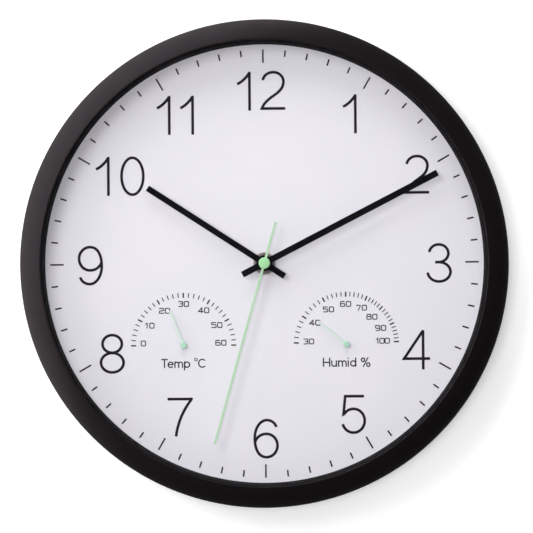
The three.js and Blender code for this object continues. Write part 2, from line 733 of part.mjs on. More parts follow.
function motionWheel() {
  const toothed = wheel(MOTION_TEETH, motionModule, motionLayer);
  const small = plate(
    gearPoints(MOTION_PINION_TEETH, hourModule),
    motionLayer.front - JOIN_OVERLAP,
    hourLayer.front + PINION_OVERHANG,
  );
  const bore = rod(
    MOTION_STUD_RADIUS + RUN_GAP,
    motionLayer.rear - CUT_OVERRUN,
    hourLayer.front + CUT_OVERRUN,
  );
  const body = cut(join(toothed, small), bore);
  return onArbor(piece("motion_wheel", body, "whiteNylon"), motionPlace, motionTurn);
}

function centreWheel() {
  const bore = rod(
    MINUTE_PIPE_RADIUS + RUN_GAP,
    centreLayer.rear - CUT_OVERRUN,
    centreLayer.front + CUT_OVERRUN,
    [0, 0],
    HUB_SIDES,
  );
  const toothed = wheel(CENTRE_TEETH, centreModule, centreLayer);
  return onArbor(piece("centre_wheel", cut(toothed, bore), "whiteNylon"), [0, 0], centreTurn);
}

function thirdWheel() {
  const body = join(
    wheel(THIRD_TEETH, thirdModule, thirdLayer),
    pinion(THIRD_PINION_TEETH, centreModule, centreLayer),
    rod(ARBOR_RADIUS, arborRear + FACE_GAP, arborFront - FACE_GAP),
  );
  return onArbor(piece("third_wheel", body, "whiteNylon"), thirdPlace, thirdTurn);
}

const secondArborFront = secondHandRear + SECOND_THICKNESS;

function secondWheel() {
  const body = join(
    wheel(SECOND_TEETH, fifthModule, secondLayer),
    pinion(SECOND_PINION_TEETH, thirdModule, thirdLayer),
    rod(SECOND_ARBOR_RADIUS, arborRear + FACE_GAP, secondArborFront),
  );
  return piece("second_wheel", body, "whiteNylon");
}

function fifthWheel() {
  const body = join(
    wheel(FIFTH_TEETH, rotorModule, fifthLayer),
    pinion(FIFTH_PINION_TEETH, fifthModule, secondLayer),
    rod(ARBOR_RADIUS, arborRear + FACE_GAP, arborFront - FACE_GAP),
  );
  return onArbor(piece("fifth_wheel", body, "whiteNylon"), fifthPlace, fifthTurn);
}

const statorRear = (secondLayer.front + thirdLayer.rear) / 2 + FACE_GAP;
const statorFront = statorRear + STATOR_THICKNESS;
const magnetRear = (statorRear + statorFront) / 2 - ROTOR_MAGNET_LENGTH / 2;

function rotorPinion() {
  const body = join(
    pinion(ROTOR_TEETH, rotorModule, fifthLayer),
    rod(ARBOR_RADIUS, arborRear + FACE_GAP, arborFront - FACE_GAP),
  );
  return onArbor(piece("rotor_pinion", body, "whiteNylon"), rotorPlace, rotorTurn);
}

function rotorMagnet() {
  const bore = ARBOR_RADIUS + FACE_GAP;
  const magnet = tube(bore, ROTOR_MAGNET_RADIUS, magnetRear, magnetRear + ROTOR_MAGNET_LENGTH);
  return onArbor(piece("rotor_magnet", magnet, "magnet"), rotorPlace, rotorTurn);
}

const coilMiddle = (statorLeft + statorRight) / 2;
const coreRear = statorFront + FACE_GAP;
const coilDepth = coreRear + CORE_THICKNESS / 2;

const statorPostPlaces = [
  [statorLeft + STATOR_LEG_WIDTH / 2, yokeBottom + STATOR_LEG_WIDTH / 2],
  [statorLeft + STATOR_LEG_WIDTH / 2, yokeTop],
  [statorRight - STATOR_LEG_WIDTH / 2, yokeTop],
];

function statorPlate() {
  const legTop = coilHeight + CORE_WIDTH;
  const outline = [
    [statorLeft, yokeBottom],
    [statorRight, yokeBottom],
    [statorRight, legTop],
    [statorRight - STATOR_LEG_WIDTH, legTop],
    [statorRight - STATOR_LEG_WIDTH, yokeTop],
    [statorLeft + STATOR_LEG_WIDTH, yokeTop],
    [statorLeft + STATOR_LEG_WIDTH, legTop],
    [statorLeft, legTop],
  ];
  const points = outline.map(([u, v]) => new THREE.Vector2(u, v));
  const holes = [circlePoints(rotorHoleRadius, HUB_SIDES, rotorPlace)];
  return piece("stator_plate", plate(points, statorRear, statorFront, holes), "steel");
}

function coilCore() {
  const low = coilHeight - CORE_WIDTH / 2;
  const bar = block(statorLeft, statorRight, low, low + CORE_WIDTH, coreRear, coreRear + CORE_THICKNESS);
  return piece("coil_core", bar, "steel");
}

// A ring lying along u, around the core.
function ringAlong(length, inner, outer) {
  const ring = tube(inner, outer, -length / 2, length / 2);
  return ring.rotateZ(Math.PI / 2).translate(coilMiddle, -coilDepth, coilHeight);
}

function coilBobbin() {
  const bore = COIL_TUBE_RADIUS - COIL_TUBE_WALL;
  const spool = ringAlong(COIL_LENGTH, bore, COIL_TUBE_RADIUS);
  const away = (COIL_LENGTH - COIL_FLANGE_THICKNESS) / 2;
  const flange = ringAlong(COIL_FLANGE_THICKNESS, bore, COIL_FLANGE_RADIUS);
  const left = flange.clone().translate(-away, 0, 0);
  const right = flange.translate(away, 0, 0);
  return piece("coil_bobbin", join(spool, left, right), "whiteNylon");
}

function coilWinding() {
  const length = COIL_LENGTH - 2 * COIL_FLANGE_THICKNESS - 2 * FACE_GAP;
  const ring = ringAlong(length, COIL_TUBE_RADIUS + RUN_GAP, COIL_WINDING_RADIUS);
  return piece("coil_winding", ring, "copper");
}

// Circuit board, on two posts of the housing in the corner away from the motor
const boardRight = housingHalfWidth - HOUSING_WALL - FIT_GAP;
const boardLeft = boardRight - BOARD_WIDTH;
const boardTop = housingTop - HOUSING_WALL - FIT_GAP;
const boardBottom = boardTop - BOARD_HEIGHT;
const boardFront = secondLayer.front;
const boardRear = boardFront - BOARD_THICKNESS;
const boardMiddle = (boardBottom + boardTop) / 2;
const postInset = BOARD_POST_RADIUS + FIT_GAP;
const boardPostPlaces = [
  [boardLeft + postInset, boardMiddle],
  [boardRight - postInset, boardMiddle],
];

function circuitBoard() {
  const sheet = block(boardLeft, boardRight, boardBottom, boardTop, boardRear, boardFront);
  return piece("circuit_board", sheet, "board");
}

function clockChip() {
  const place = [boardLeft + 2 * CHIP_RADIUS, boardMiddle];
  const front = boardRear - FACE_GAP;
  return piece("clock_chip", rod(CHIP_RADIUS, front - CHIP_THICKNESS, front, place), "blackPlastic");
}

function quartzCrystal() {
  const can = rod(CRYSTAL_RADIUS, -CRYSTAL_LENGTH / 2, CRYSTAL_LENGTH / 2);
  can.rotateZ(Math.PI / 2);
  const u = boardRight - FIT_GAP - CRYSTAL_LENGTH / 2;
  can.translate(u, -(boardRear - FACE_GAP - CRYSTAL_RADIUS), boardMiddle);
  return piece("quartz_crystal", can, "steel");
}

// Housing of the movement: a tray open to the back, with the battery bay below the train
const batteryDepth = floorRear - BATTERY_GAP - BATTERY_RADIUS;
const batteryHeight = bayBottom + BATTERY_GAP + BATTERY_RADIUS;
const batteryLeft = -bayLength / 2 + springRoom;
const batteryRight = batteryLeft + BATTERY_LENGTH;

function movementHousing() {
  const left = -housingHalfWidth;
  const right = housingHalfWidth;
  const outside = rectanglePoints(left, right, housingBottom, housingTop);
  const bushHole = circlePoints(BUSH_RADIUS + RUN_GAP, HUB_SIDES);
  const floor = plate(outside, floorRear, housingFront, [bushHole]);
  const inside = rectanglePoints(
    left + HOUSING_WALL,
    right - HOUSING_WALL,
    bayBottom,
    housingTop - HOUSING_WALL,
  );
  const inFloor = floorRear + JOIN_OVERLAP;
  const walls = plate(outside, housingRear, inFloor, [inside]);
  const partition = block(
    left + JOIN_OVERLAP,
    right - JOIN_OVERLAP,
    bayTop,
    chamberBottom,
    housingRear,
    inFloor,
  );
  const bossRear = floorRear - BEARING_BOSS_HEIGHT;
  const bosses = bearingPlaces.map((place) => rod(BEARING_BOSS_RADIUS, bossRear, inFloor, place));
  const stud = rod(MOTION_STUD_RADIUS, motionLayer.rear - FACE_GAP, inFloor, motionPlace);
  const boardPosts = boardPostPlaces.map((place) =>
    rod(BOARD_POST_RADIUS, boardFront + FACE_GAP, inFloor, place),
  );
  const statorPosts = statorPostPlaces.map((place) =>
    rod(STATOR_POST_RADIUS, statorFront + FACE_GAP, inFloor, place),
  );
  const bores = bearingPlaces.map((place) =>
    rod(ARBOR_RADIUS + RUN_GAP, bossRear - CUT_OVERRUN, arborFront, place),
  );
  const moulding = join(floor, walls, partition, ...bosses, stud, ...boardPosts, ...statorPosts);
  return piece("movement_housing", cut(moulding, ...bores), "darkPlastic");
}

function movementCover() {
  const sheet = block(-housingHalfWidth, housingHalfWidth, bayTop, housingTop, coverRear, coverFront);
  const bossFront = coverFront + BEARING_BOSS_HEIGHT;
  const bosses = [[0, 0], ...bearingPlaces].map((place) =>
    rod(BEARING_BOSS_RADIUS, coverFront - JOIN_OVERLAP, bossFront, place),
  );
  const bores = bearingPlaces.map((place) =>
    rod(ARBOR_RADIUS + RUN_GAP, arborRear, bossFront + CUT_OVERRUN, place),
  );
  const middleBore = rod(SECOND_ARBOR_RADIUS + RUN_GAP, arborRear, bossFront + CUT_OVERRUN);
  const knobHole = rod(
    KNOB_SHAFT_RADIUS + RUN_GAP,
    coverRear - CUT_OVERRUN,
    coverFront + CUT_OVERRUN,
    settingPlace,
  );
  return piece("movement_cover", cut(join(sheet, ...bosses), ...bores, middleBore, knobHole), "darkPlastic");
}

function threadedBush() {
  const flangeFront = floorRear - FACE_GAP;
  const flange = rod(
    BUSH_FLANGE_RADIUS,
    flangeFront - BUSH_FLANGE_THICKNESS,
    flangeFront,
    [0, 0],
    HUB_SIDES,
  );
  const barrel = rod(BUSH_RADIUS, flangeFront - BUSH_FLANGE_THICKNESS, bushFront, [0, 0], HUB_SIDES);
  const bore = rod(
    HOUR_PIPE_RADIUS + RUN_GAP,
    flangeFront - BUSH_FLANGE_THICKNESS - CUT_OVERRUN,
    bushFront + CUT_OVERRUN,
    [0, 0],
    HUB_SIDES,
  );
  return piece("threaded_bush", cut(join(flange, barrel), bore), "brass");
}

function fixings() {
  const bore = BUSH_RADIUS + RUN_GAP;
  const washer = tube(bore, WASHER_RADIUS, washerRear, washerRear + WASHER_THICKNESS, HUB_SIDES);
  const nutRadius = NUT_ACROSS_FLATS / Math.sqrt(3);
  const nutBore = circlePoints(bore, HUB_SIDES);
  const nut = plate(circlePoints(nutRadius, 6), nutRear, nutRear + NUT_THICKNESS, [nutBore]);
  const gasket = tube(bore, GASKET_RADIUS, gasketRear, gasketFront, HUB_SIDES);
  return [
    piece("washer", washer, "steel"),
    piece("hex_nut", nut, "brass"),
    piece("rubber_gasket", gasket, "rubber"),
  ];
}

function battery() {
  const can = rod(BATTERY_RADIUS, -BATTERY_LENGTH, 0, [0, 0], HUB_SIDES);
  const nub = rod(BATTERY_NUB_RADIUS, -JOIN_OVERLAP, BATTERY_NUB_LENGTH);
  const cell = join(can, nub);
  cell.rotateZ(Math.PI / 2);
  cell.translate(batteryRight, -batteryDepth, batteryHeight);
  return piece("battery", cell, "battery");
}

// The bend of the spring contact: two ends near the wall and a crown that reaches for the battery.
function batteryContacts() {
  const wall = bayLength / 2;
  const rear = batteryDepth - CONTACT_HEIGHT / 2;
  const front = batteryDepth + CONTACT_HEIGHT / 2;
  const low = batteryHeight - CONTACT_WIDTH / 2;
  const high = batteryHeight + CONTACT_WIDTH / 2;
  const flatRight = wall - FIT_GAP;
  const positive = block(flatRight - CONTACT_THICKNESS, flatRight, low, high, rear, front);
  const foot = -wall + FIT_GAP;
  const crown = foot + CONTACT_SPRING_TRAVEL;
  const bend = [
    [foot, low],
    [foot + CONTACT_THICKNESS, low],
    [crown + CONTACT_THICKNESS, batteryHeight],
    [foot + CONTACT_THICKNESS, high],
    [foot, high],
    [crown, batteryHeight],
  ];
  const spring = plate(
    bend.map(([u, v]) => new THREE.Vector2(u, v)),
    rear,
    front,
  );
  return [
    piece("battery_contact_positive", positive, "steel"),
    piece("battery_contact_negative", spring, "steel"),
  ];
}

function settingPinion() {
  const shaftRear = (KNOB_RECESS + knobFront) / 2;
  const body = join(
    pinion(SETTING_TEETH, motionModule, motionLayer),
    rod(KNOB_SHAFT_RADIUS, shaftRear, motionLayer.front),
  );
  return onArbor(piece("setting_pinion", body, "whiteNylon"), settingPlace, settingTurn);
}

function settingKnob() {
  const step = 360 / KNOB_RIBS;
  const points = [];
  for (let i = 0; i < KNOB_RIBS; i++) {
    points.push(new THREE.Vector2(...polar(KNOB_RADIUS, step * (i - KNOB_RIB_SHARE / 2))));
    points.push(new THREE.Vector2(...polar(KNOB_RADIUS, step * (i + KNOB_RIB_SHARE / 2))));
    points.push(new THREE.Vector2(...polar(KNOB_RADIUS - KNOB_RIB_DEPTH, step * (i + 0.5))));
  }
  const grip = plate(points, KNOB_RECESS, knobFront);
  const socketRear = (KNOB_RECESS + knobFront) / 2 - FACE_GAP;
  const socket = rod(KNOB_SHAFT_RADIUS + RUN_GAP, socketRear, knobFront + CUT_OVERRUN);
  return onArbor(piece("time_set_knob", cut(grip, socket), "whiteNylon"), settingPlace, settingTurn);
}

// A straight hand pointing at twelve, with a round hub and a short tail.
function handBlank(reach, tail, width, hubRadius, bore, rear, front) {
  const bar = block(-width / 2, width / 2, -tail, reach, rear, front);
  const hub = rod(hubRadius, rear, front, [0, 0], HUB_SIDES);
  const hole = rod(bore, rear - CUT_OVERRUN, front + CUT_OVERRUN, [0, 0], HUB_SIDES);
  return cut(join(bar, hub), hole);
}

// Turns a hand or pointer clockwise from twelve, as seen from the front.
function pointing(mesh, degrees, [u, v] = [0, 0]) {
  return onArbor(mesh, [u, v], -degrees);
}

function hands() {
  const minuteReach = shownDialRadius - MINUTE_TIP_GAP;
  const hour = handBlank(
    minuteReach - HOUR_SHORTFALL,
    HOUR_TAIL,
    HOUR_WIDTH,
    HAND_HUB_RADIUS,
    HOUR_PIPE_RADIUS + FACE_GAP,
    hourHandRear,
    hourHandRear + HAND_THICKNESS,
  );
  const minute = handBlank(
    minuteReach,
    MINUTE_TAIL,
    MINUTE_WIDTH,
    HAND_HUB_RADIUS,
    MINUTE_PIPE_RADIUS + FACE_GAP,
    minuteHandRear,
    minuteHandRear + HAND_THICKNESS,
  );
  const second = handBlank(
    shownDialRadius - SECOND_TIP_GAP,
    SECOND_TAIL,
    SECOND_WIDTH,
    SECOND_COLLET_RADIUS,
    SECOND_ARBOR_RADIUS + FACE_GAP,
    secondHandRear,
    secondHandRear + SECOND_THICKNESS,
  );
  const cap = rod(CAP_RADIUS, capRear, capFront, [0, 0], HUB_SIDES);
  return [
    pointing(piece("hour_hand", hour, "blackHand"), HOUR_ANGLE),
    pointing(piece("minute_hand", minute, "blackHand"), MINUTE_ANGLE),
    pointing(piece("second_hand", second, "greenHand"), SECOND_ANGLE),
    pointing(piece("second_hand_cap", cap, "greenCap"), SECOND_ANGLE),
  ];
}

// Depths of a sensor: a cup behind the dial, open towards it
const cupFront = dialRear - FACE_GAP;
const cupRear = cupFront - SENSOR_DEPTH;
const cupFloor = cupRear + SENSOR_WALL;
const sensorBossFront = cupFloor + SENSOR_BOSS_HEIGHT;
const pointerRear = dialFront + POINTER_LIFT;
const stripRear = sensorBossFront + FIT_GAP;
const stripFront = stripRear + COIL_STRIP_WIDTH;
const coilPostPlace = polar(COIL_OUTER_RADIUS + COIL_STRIP_THICKNESS / 2 + FIT_GAP + COIL_POST_RADIUS, 0);

function sensorHousing(name, [u, v]) {
  const bearing = SPINDLE_RADIUS + RUN_GAP;
  const cup = turned(
    closed([
      [bearing, cupRear],
      [SENSOR_RADIUS, cupRear],
      [SENSOR_RADIUS, cupFront],
      [SENSOR_RADIUS - SENSOR_WALL, cupFront],
      [SENSOR_RADIUS - SENSOR_WALL, cupFloor],
      [SENSOR_BOSS_RADIUS, cupFloor],
      [SENSOR_BOSS_RADIUS, sensorBossFront],
      [bearing, sensorBossFront],
    ]),
    HUB_SIDES,
  );
  const post = rod(COIL_POST_RADIUS, cupFloor - JOIN_OVERLAP, stripFront, coilPostPlace, SMALL_SIDES);
  const slots = [];
  for (let i = 0; i < SENSOR_VENTS; i++) {
    const slot = block(
      SENSOR_RADIUS - 2 * SENSOR_WALL,
      SENSOR_RADIUS + CUT_OVERRUN,
      -SENSOR_VENT_WIDTH / 2,
      SENSOR_VENT_WIDTH / 2,
      cupFloor + SENSOR_WALL,
      cupFront - SENSOR_WALL,
    );
    slots.push(slot.rotateY(radians((360 * (i + 0.5)) / SENSOR_VENTS)));
  }
  const housing = piece(name, cut(join(cup, post), ...slots), "darkPlastic");
  housing.position.set(u, 0, v);
  return housing;
}

// A flat strip wound in an open spiral from the spindle out to its post.
function sensorCoil(name, [u, v], finish) {
  const half = COIL_STRIP_THICKNESS / 2;
  const innerRadius = SPINDLE_RADIUS + FIT_GAP + half;
  const steps = COIL_TURNS * SPIRAL_STEPS;
  const outside = [];
  const inside = [];
  for (let i = 0; i <= steps; i++) {
    const radius = innerRadius + ((COIL_OUTER_RADIUS - innerRadius) * i) / steps;
    const turn = (360 * i) / SPIRAL_STEPS;
    outside.push(new THREE.Vector2(...polar(radius + half, turn)));
    inside.push(new THREE.Vector2(...polar(radius - half, turn)));
  }
  const strip = plate([...outside, ...inside.reverse()], stripRear, stripFront);
  const coil = piece(name, strip, finish);
  coil.position.set(u, 0, v);
  return coil;
}

function sensorSpindle(name, place, angle) {
  const front = pointerRear + POINTER_THICKNESS;
  const shaft = rod(SPINDLE_RADIUS, cupRear + FACE_GAP, front);
  return pointing(piece(name, shaft, "steel"), angle, place);
}

function sensorPointer(name, place, angle, reach) {
  const root = POINTER_ROOT_WIDTH / 2;
  const tip = POINTER_TIP_WIDTH / 2;
  const outline = [
    new THREE.Vector2(-root, 0),
    new THREE.Vector2(root, 0),
    new THREE.Vector2(tip, reach),
    new THREE.Vector2(-tip, reach),
  ];
  const blade = plate(outline, pointerRear, pointerRear + POINTER_THICKNESS);
  const hub = rod(POINTER_HUB_RADIUS, pointerRear, pointerRear + POINTER_HUB_HEIGHT, [0, 0], HUB_SIDES);
  const socket = rod(
    SPINDLE_RADIUS + FACE_GAP,
    pointerRear - CUT_OVERRUN,
    pointerRear + POINTER_THICKNESS + FACE_GAP,
  );
  return pointing(piece(name, cut(join(blade, hub), socket), "palePointer"), angle, place);
}

function thermometer() {
  return [
    sensorHousing("thermo_housing", thermoPlace),
    sensorCoil("thermo_coil", thermoPlace, "brass"),
    sensorSpindle("thermo_spindle", thermoPlace, THERMO_ANGLE),
    sensorPointer("thermo_pointer", thermoPlace, THERMO_ANGLE, THERMO_REACH),
  ];
}

function hygrometer() {
  return [
    sensorHousing("hygro_housing", hygroPlace),
    sensorCoil("hygro_coil", hygroPlace, "copper"),
    sensorSpindle("hygro_spindle", hygroPlace, HYGRO_ANGLE),
    sensorPointer("hygro_pointer", hygroPlace, HYGRO_ANGLE, HYGRO_REACH),
  ];
}

function caseParts() {
  const group = new THREE.Group();
  group.add(frontFrame(), glassLens(), spacerRing(), dial(), backCover());
  screwPlaces().forEach((place, index) => group.add(caseScrew(`case_screw_${index + 1}`, place)));
  return group;
}

function movement() {
  const group = new THREE.Group();
  group.add(movementHousing(), movementCover(), threadedBush(), ...fixings());
  group.add(statorPlate(), coilCore(), coilBobbin(), coilWinding());
  group.add(circuitBoard(), clockChip(), quartzCrystal());
  group.add(battery(), ...batteryContacts());
  group.add(rotorPinion(), rotorMagnet(), fifthWheel(), secondWheel(), thirdWheel(), centreWheel());
  group.add(minutePipe(), motionWheel(), hourWheel(), settingPinion(), settingKnob());
  return group;
}

const clock = new THREE.Group();
clock.add(caseParts(), movement());
clock.add(...hands(), ...thermometer(), ...hygrometer());
clock.position.set(0, 0, -hangerHeight);

const root = new THREE.Group();
root.add(clock);

export default root;
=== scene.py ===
import math

import bmesh
import bpy
from mathutils import Matrix, Vector
from mathutils.geometry import delaunay_2d_cdt

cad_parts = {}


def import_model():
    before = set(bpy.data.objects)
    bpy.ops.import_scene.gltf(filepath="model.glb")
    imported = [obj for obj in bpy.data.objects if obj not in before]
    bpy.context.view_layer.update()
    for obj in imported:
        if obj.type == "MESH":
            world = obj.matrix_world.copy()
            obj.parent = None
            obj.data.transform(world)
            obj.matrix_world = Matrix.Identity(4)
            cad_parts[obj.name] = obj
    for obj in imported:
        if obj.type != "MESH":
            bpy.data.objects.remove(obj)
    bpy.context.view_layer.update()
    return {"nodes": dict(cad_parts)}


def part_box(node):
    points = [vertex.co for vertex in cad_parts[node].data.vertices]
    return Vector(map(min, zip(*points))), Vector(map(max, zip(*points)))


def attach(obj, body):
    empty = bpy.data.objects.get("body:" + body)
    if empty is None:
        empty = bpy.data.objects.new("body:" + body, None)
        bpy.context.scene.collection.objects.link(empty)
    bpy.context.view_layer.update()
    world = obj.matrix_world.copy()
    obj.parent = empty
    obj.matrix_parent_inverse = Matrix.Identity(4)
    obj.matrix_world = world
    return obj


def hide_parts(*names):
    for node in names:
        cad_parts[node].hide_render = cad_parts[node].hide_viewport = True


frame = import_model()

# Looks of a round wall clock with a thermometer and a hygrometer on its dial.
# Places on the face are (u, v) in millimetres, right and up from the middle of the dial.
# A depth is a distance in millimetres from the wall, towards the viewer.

MM = 0.001
SAME_POINT = 1e-6  # metres; points closer than this are one
SIDES = 240  # of a full turn of the case
PLATE_SHARP = 12  # edges of a plate that bend by more than this many degrees show as edges


def rear_and_front(node):
    """The depths of a CAD node's rear and front."""
    low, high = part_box(node)
    return -high.y / MM, -low.y / MM


def middle_of(node):
    """The place on the face of the middle of a CAD node's box."""
    low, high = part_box(node)
    return (low.x + high.x) / 2 / MM, (low.z + high.z) / 2 / MM - CENTRE_HEIGHT


def edges_of(node):
    """The left, right, bottom and top of a CAD node on the face."""
    low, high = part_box(node)
    return low.x / MM, high.x / MM, low.z / MM - CENTRE_HEIGHT, high.z / MM - CENTRE_HEIGHT


def reach_of(node):
    """How far a CAD node goes to the right of the middle of the dial."""
    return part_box(node)[1].x / MM


CENTRE_HEIGHT = (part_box("front_frame")[0].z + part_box("front_frame")[1].z) / 2 / MM
CLOCK_RADIUS = reach_of("front_frame")
CREST_DEPTH = rear_and_front("front_frame")[1]
GLASS_REAR, GLASS_FRONT = rear_and_front("glass_lens")
GLASS_RADIUS = reach_of("glass_lens")
DIAL_REAR, DIAL_FRONT = rear_and_front("dial")
SPACER_REAR, SPACER_FRONT = rear_and_front("spacer_ring")
COVER_REAR, COVER_FRONT = rear_and_front("back_cover")
COVER_RADIUS = reach_of("back_cover")
THERMO_PLACE = middle_of("thermo_spindle")
HYGRO_PLACE = middle_of("hygro_spindle")

# Case, with the values of the CAD source
BEZEL_WIDTH = 13.2
BEZEL_TILT_AT_CREST = 22
BEZEL_TILT_AT_EDGE = 50
BEZEL_EDGE_ROUND = 2.5
FRAME_WALL = 2.5
SKIRT_WALL = 2
LIP_DRAFT = 0.6
SPACER_DRAFT = 1.4
FACE_GAP = 0.1
FIT_GAP = 0.3
RUN_GAP = 0.2
BOSS_RADIUS = 3.1
CASE_SCREWS = 6
SCREW_RADIUS = 1.3
SCREW_LENGTH = 12
SCREW_HEAD_RADIUS = 2.6
SCREW_HEAD_HEIGHT = 1.4
SCREW_RECESS = (3.2, 0.7, 0.9)  # length, width and depth of each bar of its cross
BACK_PLATE_THICKNESS = 2.2
WELL_GAP = 5
WELL_WALL = 1.8
HANGER_INSET = 40
KEYHOLE_RADIUS = 5.5
KEYHOLE_SLOT_WIDTH = 5
KEYHOLE_DROP = 12
VENTS = 5
VENT_WIDTH = 2.4
VENT_LENGTH = 24
VENT_PITCH = 6

# Case, with finer details than the CAD source has
CREST_ROUND = 0.45
REAR_ROUND = 0.5
BOSS_REAR = 3.5
PILOT_FRONT = 16  # depth at which the screw holes end
SPACER_REAR_ROUND = 0.15
SPACER_RIM_ROUND = 0.2
SPACER_FRONT_ROUND = 0.3
GLASS_CHAMFER = 0.3
SCREW_HEAD_CHAMFER = (0.3, 0.15)  # across and deep
SCREW_SIDES = 40
PLATE_EDGE = 0.3
BEAD_RADIUS = 122  # of the stiffening bead on the back plate
BEAD_WIDTH = 2
BEAD_HEIGHT = 0.5
BEAD_PROFILE = (  # across and up, as shares of its width and height
    (-0.5, 0), (-0.35, 0.6), (-0.15, 1), (0.15, 1), (0.35, 0.6), (0.5, 0),
)
RIM_WIDTH = 1.8  # of the raised rims round the openings of the back plate
RIM_EDGE = 0.2
WELL_CORNER = 0.8
VENT_CORNER = 0.45 * VENT_WIDTH
CUT_OVERRUN = 1

# Movement
LID_SKIN = 0.4  # of the movement's cover behind the ends of the arbors
LID_CORNER = 1.2
LID_EDGE = 0.18
CENTRE_BORE = 0.8
ARBOR_BORE = 0.65
ARBOR_BOSS = 1.4
COLLAR_GAP = 1  # between the knob and the collar round it
COLLAR_WALL = 1
COLLAR_HEIGHT = 0.5
COLLAR_EDGE = 0.15
KNOB_RADIUS = 5
KNOB_BORE = 1.4
KNOB_RIBS = 24
KNOB_RIB_DEPTH = 0.35
KNOB_REAR_EDGE = 0.15
KNOB_FRONT_EDGE = 0.12
KNOB_DISH_RADIUS = 3.3
KNOB_DISH_DEPTH = 0.5
KNOB_WEB = 0.6  # thickness of the knob under its dish
KNOB_WEB_RADIUS = 3.6
OVERLAP = 0.2  # how far one plate of a piece reaches into the next
BATTERY_RADIUS = 7.1
BATTERY_NUB_RADIUS = 2.7
BATTERY_NUB_LENGTH = 1.3
SLEEVE_FOLD = 6.35  # the sleeve folds over the ends of the battery, in to this radius

# Dial
DIAL_SHAFT_HOLE = 3.7
DIAL_SPINDLE_HOLE = 1.4
MARK_RADIUS = 131.7
MARK_LENGTH = 4.1
HOUR_MARK_LENGTH = 8.3
MARK_WIDTH = 1.0
INK_THICKNESS = 0.03
NUMBER_LINE = 1.7

# Hands and pointers, with angles clockwise from straight up
HANDS = (  # piece, CAD node, body, finish, reach, tail, width, radii of hub and bore, edge, and angle
    ("hour_bar", "hour_hand", "hour", "black_hand", 85.3, 14.75, 3.75, 4.9, 2.75, 0.12, -56.9),
    ("minute_bar", "minute_hand", "minute", "black_hand", 119.7, 15.2, 3.9, 4.9, 1.85, 0.12, 62.8),
    ("second_bar", "second_hand", "second", "green_hand", 115.0, 26.1, 1.5, 1.3, None, 0.08, 195.7),
)
CAP_RADIUS = 3.5
WASHER_RADIUS = 6.85
WASHER_BORE = 3.7
WASHER_ROUND = 0.45
WASHER_BORE_ROUND = 0.1
POINTERS = (  # start of its names, place, reach and angle
    ("thermo", THERMO_PLACE, 23.0, -21.2),
    ("hygro", HYGRO_PLACE, 22.4, -50.2),
)
POINTER_FOOT_WIDTH = 2.0
POINTER_TIP_WIDTH = 1.6
POINTER_TIP_ROUND = 0.3
POINTER_THICKNESS = 0.4
POINTER_EDGE = 0.06
POINTER_HUB_RADIUS = 2
POINTER_HUB_ROUND = 0.35


# Meshes


def at(u, v, depth):
    """A point of the clock, in metres in the row frame."""
    return Vector((u * MM, -depth * MM, (CENTRE_HEIGHT + v) * MM))


def polar(radius, degrees, centre=(0, 0)):
    """A place at a radius from centre, in a direction measured clockwise from straight up."""
    turn = math.radians(degrees)
    return centre[0] + radius * math.sin(turn), centre[1] + radius * math.cos(turn)


def rounded(corners, steps=5):
    """The points of an outline, of which the corners given as (x, y, radius) are rounded."""
    points = []
    for i, (x, y, *radii) in enumerate(corners):
        if not radii:
            points.append((x, y))
            continue
        radius = radii[0]
        corner = Vector((x, y))
        before = (Vector(corners[i - 1][:2]) - corner).normalized()
        after = (Vector(corners[(i + 1) % len(corners)][:2]) - corner).normalized()
        half = before.angle(after) / 2
        middle = corner + (before + after).normalized() * radius / math.sin(half)
        first = corner + before * radius / math.tan(half) - middle
        last = corner + after * radius / math.tan(half) - middle
        turn = first.angle_signed(last)
        for k in range(steps + 1):
            spot = middle + Matrix.Rotation(-turn * k / steps, 2) @ first
            points.append((spot.x, spot.y))
    return points


def circle(radius, centre=(0, 0), sides=48):
    """The points round a circle, anticlockwise."""
    return [polar(radius, -360 * i / sides, centre) for i in range(sides)]


def add_turned(mesh, profile, centre=(0, 0), sides=SIDES):
    """Adds a ring turned about the axis through centre, from the (radius, depth) points of its section."""
    rings = []
    for radius, depth in profile:
        count = sides if radius else 1
        rings.append([
            mesh.verts.new(at(*polar(radius, 360 * i / sides, centre), depth)) for i in range(count)
        ])
    for ring, after in zip(rings, rings[1:] + rings[:1]):
        for i in range(sides):
            corners = [ring[i % len(ring)], ring[(i + 1) % len(ring)],
                       after[(i + 1) % len(after)], after[i % len(after)]]
            unique = list(dict.fromkeys(corners))
            if len(unique) > 2:
                mesh.faces.new(unique)


def linked(name, data):
    """A new object in the scene."""
    made = bpy.data.objects.new(name, data)
    bpy.context.scene.collection.objects.link(made)
    return made


def data_of(name, mesh):
    """The data of a finished mesh, for an object."""
    data = bpy.data.meshes.new(name)
    mesh.to_mesh(data)
    mesh.free()
    return data


def evaluated(holder):
    """The mesh of an object once its outlines are filled or its cut is made."""
    bpy.context.view_layer.update()
    return bpy.data.meshes.new_from_object(holder.evaluated_get(bpy.context.evaluated_depsgraph_get()))


def second_within(mesh, radius):
    """Gives the second material to the faces within a radius of the axis."""
    axis = at(0, 0, 0)
    for face in mesh.faces:
        middle = face.calc_center_median()
        if math.hypot(middle.x - axis.x, middle.z - axis.z) < radius * MM:
            face.material_index = 1


